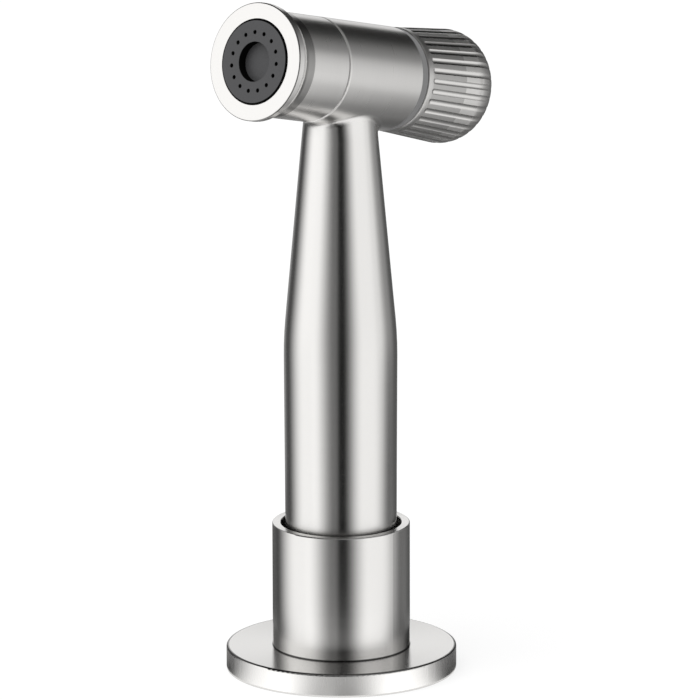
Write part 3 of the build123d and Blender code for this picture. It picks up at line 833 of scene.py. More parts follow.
@dataclass(frozen=True)
class FlutedGrip:
    """The outside of a knob: a flank that widens, a round shoulder, and flutes along both.

    Attributes:
        lathe: The knob's axis.
        front: Height of the knob's front along the axis.
        front_radius: Radius of the flank at the front.
        shoulder: Height of the shoulder's start.
        shoulder_radius: Radius there.
        back: Height of the knob's back.
        back_radius: Radius of the shoulder's end.
        cavity_radius: Radius of the cavity inside, which stays as it is.
        count: Number of flutes.
        cutter_radius: Radius of the ball that cuts a flute.
        depth: Depth of a flute along the flank.
        setback: Distance from the front to the middle of a flute's end.
        overrun: How far past the back the cutter leaves, as a share of its radius.
        margin: Width of the smooth ring that is left at the front, and twice the one at the back.
        gap: Width of the faces that join the outside to the knob.
        steps: Faces across one flute and one land.
        end_slant: The least z of a face's direction that makes it part of the knob's ends.
        shoulder_steps: Faces along the shoulder.
        ball_steps: Rows of faces along a flute's round end.
        ball_step: Height of such a row.
        halvings: How often the search for the cutter's surface halves its range.
        deepest: The least share of its radius that a point of a flute keeps.
    """

    lathe: Lathe
    front: float
    front_radius: float
    shoulder: float
    shoulder_radius: float
    back: float
    back_radius: float
    cavity_radius: float
    count: int = 32
    cutter_radius: float = 1.2 * MILLIMETRE
    depth: float = 0.25 * MILLIMETRE
    setback: float = 2.2 * MILLIMETRE
    overrun: float = 1.15
    margin: float = 0.8 * MILLIMETRE
    gap: float = 0.05 * MILLIMETRE
    steps: int = 14
    end_slant: float = 0.95
    shoulder_steps: int = 28
    ball_steps: int = 14
    ball_step: float = 0.12 * MILLIMETRE
    halvings: int = 16
    deepest: float = 0.8

    @property
    def flare(self) -> float:
        """Growth of the flank's radius for each metre along the axis."""
        return (self.shoulder_radius - self.front_radius) / (self.shoulder - self.front)

    @property
    def bend(self) -> Vector:
        """Where the shoulder starts, as its radius and height."""
        return Vector((self.shoulder_radius, self.shoulder))

    @property
    def tip(self) -> Vector:
        """Where the shoulder ends, as its radius and height."""
        return Vector((self.back_radius, self.back))

    @property
    def lift(self) -> float:
        """How far the middle of the cutter stays outside the flank."""
        return self.cutter_radius - self.depth

    @property
    def skin_low(self) -> float:
        """Height of the fluted surface's lower end."""
        return self.front + self.margin

    @property
    def skin_high(self) -> float:
        """Height of the fluted surface's upper end."""
        return self.back - self.margin / 2

    @property
    def along(self) -> Vector:
        """The flank's direction, as its radius and height."""
        return Vector((self.flare, 1.0)).normalized()

    @property
    def outward(self) -> Vector:
        """The direction out of the flank, as its radius and height."""
        return Vector((self.along.y, -self.along.x))

    def _arc(self, start: Vector, end: Vector) -> tuple[Vector, float]:
        """The arc that leaves the flank's direction at a point and ends at another.

        Args:
            start: Where it starts, as a radius and a height.
            end: Where it ends.

        Returns:
            Its centre and its radius.
        """
        chord = end - start
        radius = chord.length_squared / (2 * chord.dot(-self.outward))
        return start - self.outward * radius, radius

    def _to_cutter(self, point: Vector) -> float:
        """How far a point is outside the way of the cutter's ball.

        Args:
            point: The point, with the lathe's axis as z and the flute in the plane y = 0.

        Returns:
            The distance, less than 0 where the point is cut away.
        """
        lift = self.outward * self.lift
        turn = self.bend + lift
        first = Vector((self.front_radius, self.front)) + self.along * self.setback + lift
        centre, radius = self._arc(self.bend, self.tip)
        away = (self.tip - centre).normalized()
        last = centre + away * (radius + self.overrun * self.cutter_radius)
        centre, radius = self._arc(turn, last)
        flat = Vector((point.x, point.z))
        if (flat - turn).dot(self.along) > 0:
            off = abs((flat - centre).length - radius)
        else:
            share = min(max((flat - first).dot(self.along), 0.0), (turn - first).length)
            off = (flat - first - self.along * share).length
        return math.hypot(off, point.y) - self.cutter_radius

    def _sink(self, vertex: bmesh.types.BMVert) -> None:
        """Moves a vertex towards the axis, out of what the cutter takes away.

        Args:
            vertex: The vertex.
        """
        if self._to_cutter(vertex.co) >= 0:
            return
        kept, lost = self.deepest, 1.0
        for _ in range(self.halvings):
            share = (kept + lost) / 2
            tried = Vector((vertex.co.x * share, vertex.co.y * share, vertex.co.z))
            if self._to_cutter(tried) >= 0:
                kept = share
            else:
                lost = share
        vertex.co.xy *= kept

    def _sector(self, angle: float) -> bmesh.types.BMesh:
        """Turns the plain surface of one flute, with edges where the flute's borders will be.

        Args:
            angle: The angle that one flute and one land take up.

        Returns:
            The sector, with the plane y = 0 in its middle.
        """
        mesh = bmesh.new()
        low_radius = self.front_radius + self.margin * self.flare
        low_end = mesh.verts.new((low_radius, 0.0, self.skin_low))
        corner = mesh.verts.new((self.shoulder_radius, 0.0, self.shoulder))
        mesh.edges.new((low_end, corner))
        centre, radius = self._arc(self.bend, self.tip)
        chord = math.hypot(self.back_radius - self.shoulder_radius, self.back - self.shoulder)
        bmesh.ops.spin(
            mesh,
            geom=[corner],
            axis=(0, -1, 0),
            cent=(centre.x, 0.0, centre.y),
            angle=2 * math.asin(chord / (2 * radius)),
            steps=self.shoulder_steps,
        )
        to_side = Matrix.Rotation(-angle / 2, 3, "Z")
        bmesh.ops.rotate(mesh, verts=mesh.verts, cent=(0, 0, 0), matrix=to_side)
        spin_round(mesh, [*mesh.verts, *mesh.edges], angle, self.steps)
        bmesh.ops.remove_doubles(mesh, verts=mesh.verts, dist=FINE_MERGE_DISTANCE)
        ball_end = self.front + self.setback - self.cutter_radius
        for count in range(self.ball_steps):
            slice_at(mesh, (0, 0, ball_end + count * self.ball_step), (0, 0, 1))
        # On a flat flank a flute would be this wide, and the round flank makes it narrower.
        half_width = math.sqrt(self.cutter_radius**2 - self.lift**2)
        half_width *= math.sqrt(self.front_radius / (self.front_radius + self.lift))
        for side in (-1, 1):
            slice_at(mesh, (0, side * half_width, 0), (0, 1, 0))
        slice_at(mesh, (0, 0, self.skin_high), (0, 0, -1), clear=True)
        return mesh

    def _skin(self) -> bmesh.types.BMesh:
        """Cuts the fluted surface alone.

        Returns:
            The surface, open at both ends.
        """
        angle = 2 * math.pi / self.count
        mesh = self._sector(angle)
        for vertex in mesh.verts:
            self._sink(vertex)
        geom = everything(mesh)
        spin_round(mesh, geom, 2 * math.pi, self.count, use_merge=True, use_duplicate=True)
        bmesh.ops.remove_doubles(mesh, verts=mesh.verts, dist=MERGE_DISTANCE)
        to_middle = Matrix.Rotation(angle / 2, 3, "Z")
        bmesh.ops.rotate(mesh, verts=mesh.verts, cent=(0, 0, 0), matrix=to_middle)
        return mesh

    def cut_into(self, node: str) -> bmesh.types.BMesh:
        """Gives a copy of a node this outside in place of its own.

        Args:
            node: The node's name.

        Returns:
            The piece, closed, in its place on the object.
        """
        piece = place_on_lathe(node, self.lathe)
        low = self.skin_low - self.gap
        high = self.skin_high + self.gap
        for height in (low, high):
            faces = self._outside(piece)
            edges = dict.fromkeys(edge for face in faces for edge in face.edges)
            verts = dict.fromkeys(vertex for face in faces for vertex in face.verts)
            slice_at(piece, (0, 0, height), (0, 0, 1), geom=[*verts, *edges, *faces])
        old = [face for face in self._outside(piece) if low < face.calc_center_median().z < high]
        bmesh.ops.delete(piece, geom=old, context="FACES")
        cover(piece, self._skin(), self.lathe)
        return piece

    def _outside(self, piece: bmesh.types.BMesh) -> list[bmesh.types.BMFace]:
        """Finds the flank and the shoulder of the knob.

        Args:
            piece: The knob, on its lathe's axis.

        Returns:
            Their faces.
        """
        least = self.back_radius - self.gap
        return [
            face
            for face in piece.faces
            if abs(face.normal.z) < self.end_slant
            and min(reach_of(vertex.co) for vertex in face.verts) > least
            and not self._in_cavity(face)
        ]

    def _in_cavity(self, face: bmesh.types.BMFace) -> bool:
        """Tells the wall of the cavity inside the knob from its outside.

        Args:
            face: A face of the knob.

        Returns:
            Whether it is on the wall.
        """
        reach = max(reach_of(vertex.co) for vertex in face.verts)
        behind = face.calc_center_median().z >= self.shoulder
        return reach < self.cavity_radius + self.gap and not behind


def finish_piece(
    mesh: bmesh.types.BMesh, name: str, node: str, body: str
) -> bpy.types.Object:
    """Turns a bmesh into a piece that stands for a node.

    Args:
        mesh: The piece's shape in its place, which is freed.
        name: The piece's name.
        node: The node that it stands for.
        body: The body that it rides on.

    Returns:
        The piece.
    """
    for face in mesh.faces:
        face.smooth = True
    for edge in mesh.edges:
        edge.smooth = edge.calc_face_angle(0.0) < SHARP_ANGLE
    open_count = sum(not edge.is_manifold for edge in mesh.edges)
    data = bpy.data.meshes.new(name)
    mesh.to_mesh(data)
    mesh.free()
    piece = bpy.data.objects.new(name, data)
    bpy.context.scene.collection.objects.link(piece)
    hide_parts(node)
    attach(piece, body)
    log.info("%s: %d faces, %d open edges", name, len(data.polygons), open_count)
    return piece


@dataclass
class SubAssembly:
    """A group of pieces that is put together before it goes on the sprayer."""

    def title(self) -> str:
        """What the group is called in the log."""
        return type(self).__name__.lower()

    def finishes(self) -> dict[str, Finish]:
        """The finish of each piece, by the piece's name."""
        return {}

    def make_meshes(self) -> dict[str, bpy.types.Object]:
        """Makes the meshes that stand for a node of the frame.

        Returns:
            The new pieces, by the name of the node that each stands for.
        """
        return {}

    def dress(self, made: dict[str, bpy.types.Object]) -> None:
        """Gives each piece its material.

        Args:
            made: The new pieces, by the name of the node that each stands for.
        """
        for name, finish in self.finishes().items():
            mesh = made.get(name, frame["nodes"][name]).data
            mesh.materials.clear()
            mesh.materials.append(material_of(finish))
            log.info("%s: %s is %s", self.title(), name, finish.name)

    def build(self) -> None:
        """Makes the group's meshes and dresses all its pieces."""
        self.dress(self.make_meshes())


UPRIGHT_BRUSHING = Brushing(stretch=0.9)
HEAD_BRUSHING = Brushing(
    HEAD, roughness=0.28, streak=0.015, line_depth=0.0003 * MILLIMETRE, tilt=0.06
)
HEAD_STEEL = Metal("brushed_steel_head", STAINLESS_COLOUR, HEAD_BRUSHING)


@dataclass
class Holder(SubAssembly):
    """What stands on the deck: the flange, the cup and what lies in and under them.

    Attributes:
        flange_radius: Radius of the flange.
        flange_thickness: Its height over the deck.
        flange_round: Radius of its upper edge.
        cup_radius: Radius of the cup.
        seam: Width of the painted shade round the cup's foot.
        seam_fade: Width over which that painted shade fades upwards.
    """

    flange_radius: float = 27.0 * MILLIMETRE
    flange_thickness: float = 5.5 * MILLIMETRE
    flange_round: float = 0.5 * MILLIMETRE
    cup_radius: float = 16.1 * MILLIMETRE
    seam: float = 0.3 * MILLIMETRE
    seam_fade: float = 0.2 * MILLIMETRE

    def flange_steel(self) -> Metal:
        """Steel that is turned on top and brushed upright round its side.

        Returns:
            The finish, with painted shade on the upper edge and round the cup's foot.
        """
        side = Region(
            inner=self.flange_radius - 0.6 * self.flange_round,
            high=self.flange_thickness - self.flange_round,
        )
        # Painted shade: the flange's rounded upper edge is painted dark.
        edge = Region(
            inner=self.flange_radius - 1.2 * self.flange_round,
            low=self.flange_thickness - 0.5 * self.flange_round,
        )
        # Painted shade: the flange round the cup's foot is painted dark.
        foot = Region(outer=self.cup_radius + 0.5 * self.seam, low=self.flange_round)
        return Metal(
            "flange_steel",
            STAINLESS_COLOUR,
            Brushing(roughness=0.2, line_width=0.25 * MILLIMETRE, stretch=0.7),
            patches=(Patch(edge, tone=0.3), Patch(foot, tone=0.2)),
            other=Brushing(
                grain=Grain.ALONG,
                roughness=0.26,
                streak=0.08,
                line_width=0.35 * MILLIMETRE,
                line_depth=0.006 * MILLIMETRE,
                stretch=0.9,
                reach=self.flange_radius,
            ),
            other_region=side,
        )

    def cup_steel(self) -> Metal:
        """Steel that is brushed round the cup.

        Returns:
            The finish, with painted shade round the cup's foot.
        """
        # Painted shade: the cup's foot, where it meets the flange, is painted dark.
        foot = Region(high=self.flange_thickness + self.seam, fade=self.seam_fade)
        patches = (Patch(foot, tone=0.12),)
        return Metal("brushed_steel_cup", STAINLESS_COLOUR, UPRIGHT_BRUSHING, patches=patches)

    def finishes(self) -> dict[str, Finish]:
        """The finish of each piece, by the piece's name."""
        return {
            "flange": self.flange_steel(),
            "holder_cup": self.cup_steel(),
            "guide_bush": PALE_PLASTIC,
            "deck_gasket": RUBBER,
        }


@dataclass
class Fixing(SubAssembly):
    """What clamps the holder to the deck from below.

    Attributes:
        shank_thread: The G 3/4 thread of the shank.
    """

    shank_thread: ScrewThread = ScrewThread(
        crest=13.2 * MILLIMETRE,
        root=12.06 * MILLIMETRE,
        pitch=1.814 * MILLIMETRE,
        foot=-50.0 * MILLIMETRE,
        head=8.0 * MILLIMETRE,
        foot_radius=12.4 * MILLIMETRE,
    )

    def make_meshes(self) -> dict[str, bpy.types.Object]:
        """Cuts the shank's thread.

        Returns:
            The threaded shank, by the name of its node.
        """
        mesh = self.shank_thread.cut_into("threaded_shank")
        shank = finish_piece(mesh, "shank_with_thread", "threaded_shank", "holder")
        return {"threaded_shank": shank}

    def finishes(self) -> dict[str, Finish]:
        """The finish of each piece, by the piece's name."""
        return {
            "threaded_shank": MACHINED_STEEL,
            "friction_washer": RUBBER,
            "steel_washer": MACHINED_STEEL,
            "mounting_nut": BRASS,
            "hose_grommet": PALE_PLASTIC,
        }


@dataclass
class Handset(SubAssembly):
    """The handle with its barrel, the front collar and the spray face.

    Attributes:
        barrel_radius: Radius of the barrel about the head's axis.
        neck_blend: How far the barrel's brushing fades into the handle's.
        ring_radius: Radius of the collar's face ring.
        ring_front: Height on the head's axis where the ring's rounded front edge ends.
        ring_edge_shade: Width of the painted shade along that edge.
        cove_start: Height where the cove behind the ring, and the painted highlight on it, start.
        shade_band_start: Height where the band of painted shade behind the cove starts.
        shade_band_end: Height where it ends.
        shade_band_fade: Width over which its borders fade.
        seam: Height of the seam between collar and body.
        seam_highlight: Width of the painted highlight that the body has there.
        seam_shade: Width of the painted shade that the collar has there.
        face_front: Height of the spray face's front on the head's axis.
        face_radius: Radius of the spray face.
        face_gap: Width of the painted shade in the gap round it.
        recess_radius: Radius of the recess in its middle.
        recess_shade: How far outwards from the recess's wall its painted shade reaches.
        jet_circle_radius: Radius of the ring of jets.
        jet_shade: How far each way from the ring of jets their painted shade reaches.
        dark_depth: How far behind the face's front the painted shade starts.
    """

    barrel_radius: float = 12.2 * MILLIMETRE
    neck_blend: float = 1.2 * MILLIMETRE
    ring_radius: float = 13.55 * MILLIMETRE
    ring_front: float = -29.55 * MILLIMETRE
    ring_edge_shade: float = 0.2 * MILLIMETRE
    cove_start: float = -27.7 * MILLIMETRE
    shade_band_start: float = -25.9 * MILLIMETRE
    shade_band_end: float = -22.9 * MILLIMETRE
    shade_band_fade: float = 0.2 * MILLIMETRE
    seam: float = -10.7 * MILLIMETRE
    seam_highlight: float = 0.8 * MILLIMETRE
    seam_shade: float = 0.3 * MILLIMETRE
    face_front: float = -30.1 * MILLIMETRE
    face_radius: float = 9.75 * MILLIMETRE
    face_gap: float = 0.35 * MILLIMETRE
    recess_radius: float = 4.6 * MILLIMETRE
    recess_shade: float = 0.3 * MILLIMETRE
    jet_circle_radius: float = 6.74 * MILLIMETRE
    jet_shade: float = 0.65 * MILLIMETRE
    dark_depth: float = 0.15 * MILLIMETRE

    def body_steel(self) -> Metal:
        """Steel that is brushed around the handle, and around the barrel on top of it.

        Returns:
            The finish, with a painted highlight where the barrel meets the collar.
        """
        outer = self.barrel_radius + self.neck_blend / 2
        barrel = Region(HEAD, outer=outer, fade=self.neck_blend)
        # Painted highlight: the body is painted lighter and rougher in a strip at the seam.
        seam = Region(HEAD, outer=outer, low=self.seam, high=self.seam + self.seam_highlight)
        return Metal(
            "brushed_steel_body",
            STAINLESS_COLOUR,
            UPRIGHT_BRUSHING,
            patches=(Patch(seam, tone=1.3, roughness=0.25),),
            other=HEAD_BRUSHING,
            other_region=barrel,
        )

    def collar_steel(self) -> Metal:
        """Steel that is brushed around the collar.

        Returns:
            The finish, with a painted highlight in the cove, and painted shade on the ring's edge,
            in a band behind the cove and at the seam.
        """
        # Painted light: the ring's edge, the band behind the cove and the seam are painted darker as
        # shade, and the cove is painted lighter and rougher as a highlight.
        edge = Region(HEAD, inner=self.ring_radius - self.ring_edge_shade, high=self.ring_front)
        cove = Region(HEAD, low=self.cove_start, high=self.shade_band_start)
        band = Region(HEAD, low=self.shade_band_start, high=self.shade_band_end, fade=self.shade_band_fade)
        seam = Region(HEAD, low=self.seam - self.seam_shade)
        patches = (
            Patch(edge, tone=0.35),
            Patch(cove, tone=1.3, roughness=0.45),
            Patch(band, tone=0.5),
            Patch(seam, tone=0.5),
        )
        return Metal("brushed_steel_collar", STAINLESS_COLOUR, HEAD_BRUSHING, patches=patches)

    def face_plastic(self) -> Moulding:
        """Dark plastic with 15 jets round a recess.

        Returns:
            The finish, with painted shade, nearly black, in the jets, on the recess's wall and in
            the gap round it all.
        """
        behind = self.face_front + self.dark_depth
        jets = Region(
            HEAD,
            inner=self.jet_circle_radius - self.jet_shade,
            outer=self.jet_circle_radius + self.jet_shade,
            low=behind,
        )
        wall = Region(
            HEAD,
            inner=self.recess_radius - self.recess_shade / 2,
            outer=self.recess_radius + self.recess_shade,
            low=behind,
        )
        gap = Region(HEAD, inner=self.face_radius - self.face_gap)
        # Painted shade: the jets, the recess's wall and the gap round the face are painted nearly
        # black.
        shade_regions = (jets, wall, gap)
        return Moulding("face_plastic", (0.068, 0.068, 0.071), roughness=0.5, shade_regions=shade_regions)

    def make_meshes(self) -> dict[str, bpy.types.Object]:
        """Merges the body's patches, so that no seam between them shows in its gloss.

        Returns:
            The body, by the name of its node.
        """
        mesh = place_on_lathe("handset_body", UPRIGHT)
        body = finish_piece(mesh, "ground_body", "handset_body", "handset")
        return {"handset_body": body}

    def finishes(self) -> dict[str, Finish]:
        """The finish of each piece, by the piece's name."""
        return {
            "handset_body": self.body_steel(),
            "front_collar": self.collar_steel(),
            "collar_o_ring": RUBBER,
            "spray_face": self.face_plastic(),
            "face_gasket": RUBBER,
            "diffuser_plate": PALE_PLASTIC,
        }


@dataclass
class Valve(SubAssembly):
    """The quarter-turn valve in the barrel.

    Attributes:
        lapping: Size of the fine marks on the ceramic discs.
    """

    lapping: float = 0.15 * MILLIMETRE

    def ceramic(self) -> Moulding:
        """Lapped ceramic, smooth and nearly white."""
        return Moulding(
            "lapped_ceramic",
            (0.78, 0.76, 0.71),
            roughness=0.18,
            pebble=self.lapping,
            pebble_depth=0.001 * MILLIMETRE,
            mottle=0.04,
        )

    def finishes(self) -> dict[str, Finish]:
        """The finish of each piece, by the piece's name."""
        return {
            "valve_seat_seal": RUBBER,
            "valve_body": HEAD_BRASS,
            "cartridge_o_ring": RUBBER,
            "cartridge_nut": HEAD_BRASS,
            "fixed_disc": self.ceramic(),
            "moving_disc": self.ceramic(),
            "spindle": HEAD_BRASS,
            "spindle_o_ring": RUBBER,
            "spindle_clip": MACHINED_STEEL,
        }


@dataclass
class Control(SubAssembly):
    """The fluted knob with its wear ring, cap and screw.

    Attributes:
        grip: The knob's outside.
        lip: Width of the smooth lip at the front.
        lands_length: Distance from the front to the end of the lands' darker part, which is partly a
            duller finish and partly painted shade.
        groove_depth: How deep in the flank the grooves' finish starts.
        crown_fade: Length over which the flank's finish, with the painted highlight on its lands,
            turns into the shoulder's darker one.
        screw_thread: The thread of the screw in the knob.
    """

    grip: FlutedGrip = FlutedGrip(
        lathe=HEAD,
        front=17.65 * MILLIMETRE,
        front_radius=12.2 * MILLIMETRE,
        shoulder=35.65 * MILLIMETRE,
        shoulder_radius=13.43 * MILLIMETRE,
        back=43.0 * MILLIMETRE,
        back_radius=9.3 * MILLIMETRE,
        cavity_radius=9.6 * MILLIMETRE,
    )
    lip: float = 1.6 * MILLIMETRE
    lands_length: float = 12.7 * MILLIMETRE
    groove_depth: float = 0.04 * MILLIMETRE
    crown_fade: float = 3.0 * MILLIMETRE
    screw_thread: ScrewThread = ScrewThread(
        crest=2.0 * MILLIMETRE,
        root=1.6 * MILLIMETRE,
        pitch=0.7 * MILLIMETRE,
        foot=22.15 * MILLIMETRE,
        head=36.15 * MILLIMETRE,
        foot_radius=2.0 * MILLIMETRE,
        lathe=HEAD,
        steps=32,
    )

    def knob_steel(self) -> Metal:
        """Steel that is smooth in the grooves and brushed elsewhere.

        Returns:
            The finish, with lands painted darker, partly a duller finish and partly painted shade,
            and a painted highlight on them towards the shoulder.
        """
        grip = self.grip
        lands = Region(
            HEAD,
            inner=grip.front_radius - grip.front * grip.flare - self.groove_depth,
            low=grip.front + self.lip,
            high=grip.front + self.lands_length,
            flare=grip.flare,
            fade=self.groove_depth,
        )
        bright = replace(lands, low=lands.high, high=grip.shoulder)
        lip = Region(HEAD, high=grip.front + self.lip)
        crown = Region(HEAD, low=grip.shoulder, fade=self.crown_fade)
        smooth = Brushing(HEAD, roughness=0.14, streak=0.02, line_depth=0.0, tilt=0.05)
        # The lands' darker tone is partly a duller finish and partly painted shade, the bright patch
        # is a painted highlight where the lands run into the shoulder, and the lip and the crown get
        # a darker tone.
        patches = (
            Patch(lands, tone=0.76, roughness=0.34),
            Patch(bright, tone=1.05, roughness=0.3),
            Patch(lip, tone=0.85, roughness=0.22),
            Patch(crown, tone=0.75, roughness=0.3),
        )
        return Metal("knob_steel", STAINLESS_COLOUR, smooth, patches=patches)

    def make_meshes(self) -> dict[str, bpy.types.Object]:
        """Cuts the knob's flutes and the screw's thread.

        Returns:
            The fluted knob and the threaded screw, by the names of their nodes.
        """
        mesh = self.grip.cut_into("knob")
        knob = finish_piece(mesh, "fluted_knob", "knob", "control")
        mesh = self.screw_thread.cut_into("knob_screw")
        screw = finish_piece(mesh, "screw_with_thread", "knob_screw", "control")
        return {"knob": knob, "knob_screw": screw}

    def finishes(self) -> dict[str, Finish]:
        """The finish of each piece, by the piece's name."""
        return {
            "knob_ring": Moulding("ring_plastic", (0.27, 0.27, 0.272), roughness=0.45),
            "knob": self.knob_steel(),
            "knob_screw": MACHINED_STEEL,
            "knob_cap": HEAD_STEEL,
        }


@dataclass
class Inlet(SubAssembly):
    """The plug in the handle's foot, with the hose's nipple and the check valve.

    Attributes:
        hose_thread: The M15 thread of the nipple.
        spring_radius: Radius of the check valve's spring, to the middle of its wire.
        spring_wire: Radius of the wire.
        spring_foot: Height of the spring's lower end.
        spring_head: Height of its upper end, which stays where it is.
        spring_turns: Number of turns.
        spring_travel: How far the poppet pushes the lower end up.
        wire_steps: Faces round the wire.
        turn_steps: Faces along one turn.
    """

    hose_thread: ScrewThread = ScrewThread(
        crest=7.5 * MILLIMETRE,
        root=6.9 * MILLIMETRE,
        pitch=1.0 * MILLIMETRE,
        foot=5.0 * MILLIMETRE,
        head=14.0 * MILLIMETRE,
        foot_radius=6.9 * MILLIMETRE,
    )
    spring_radius: float = 2.2 * MILLIMETRE
    spring_wire: float = 0.25 * MILLIMETRE
    spring_foot: float = 20.4 * MILLIMETRE
    spring_head: float = 24.8 * MILLIMETRE
    spring_turns: float = 3.5
    # spring_travel: How far the poppet pushes the lower end up. It is not used.
    spring_travel: float = 2.2 * MILLIMETRE
    wire_steps: int = 12
    turn_steps: int = 40

    def _wind_spring(self) -> bmesh.types.BMesh:
        """Winds the spring from its wire's round section.

        Returns:
            The spring, closed.
        """
        mesh = bmesh.new()
        upright = Matrix.Translation((self.spring_radius, 0, self.spring_foot + self.spring_wire))
        upright @= Matrix.Rotation(math.pi / 2, 4, "X")
        bmesh.ops.create_circle(
            mesh, segments=self.wire_steps, radius=self.spring_wire, matrix=upright
        )
        steps = round(self.turn_steps * self.spring_turns)
        rise = self.spring_head - self.spring_foot - 2 * self.spring_wire
        angle = 2 * math.pi * self.spring_turns
        spin_round(mesh, everything(mesh), angle, steps, dvec=(0, 0, rise / steps))
        ends = [edge for edge in mesh.edges if edge.is_boundary]
        bmesh.ops.holes_fill(mesh, edges=ends)
        bmesh.ops.recalc_face_normals(mesh, faces=mesh.faces)
        return mesh

    def make_meshes(self) -> dict[str, bpy.types.Object]:
        """Cuts the nipple's thread and winds the spring.

        Returns:
            The threaded fitting and the spring, by the names of their nodes.
        """
        mesh = self.hose_thread.cut_into("inlet_fitting")
        fitting = finish_piece(mesh, "inlet_with_thread", "inlet_fitting", "handset")
        mesh = self._wind_spring()
        spring = finish_piece(mesh, "wound_spring", "check_spring", "handset")
        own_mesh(spring)
        return {"inlet_fitting": fitting, "check_spring": spring}

    def finishes(self) -> dict[str, Finish]:
        """The finish of each piece, by the piece's name."""
        return {
            "inlet_fitting": BRASS,
            "inlet_o_ring": RUBBER,
            "inlet_screen": MACHINED_STEEL,
            "check_valve_housing": PALE_PLASTIC,
            "check_poppet": PALE_PLASTIC,
            "check_seal": RUBBER,
            "check_spring": MACHINED_STEEL,
        }


@dataclass(frozen=True)
class Panel:
    """A soft panel of the tent, which only reflections see.

    Attributes:
        turn: Direction of its middle, in degrees to the right of the camera.
        half_width: Half of the angle that it spans, where it is half as bright.
        level: Brightness, on top of the tent's own.
        left_fade: Angle over which its left side fades.
        right_fade: Angle over which its right side fades.
        low: Lowest elevation, in degrees.
        high: Greatest elevation.
        rise: Angle over which its lower and upper edges fade.
    """

    turn: float
    half_width: float
    level: float
    left_fade: float = 20.0
    right_fade: float = 20.0
    low: float = -90.0
    high: float = 62.0
    rise: float = 12.0

    def glow(self, graph: Graph, azimuth: Signal, elevation: Signal) -> Signal:
        """The panel's light in one direction.

        Args:
            graph: The graph that gets the nodes.
            azimuth: The direction, in degrees to the right of the camera.
            elevation: Its elevation, in degrees.

        Returns:
            The brightness that the panel adds there.
        """
        off = (azimuth - self.turn).math("WRAP", 180.0, -180.0)
        edge = self.half_width
        left = graph.ramp(off, -edge - self.left_fade / 2, -edge + self.left_fade / 2)
        right = graph.ramp(off, edge - self.right_fade / 2, edge + self.right_fade / 2)
        upright = graph.window(elevation, self.low, self.high, self.rise)
        return left * (1 - right) * upright * self.level


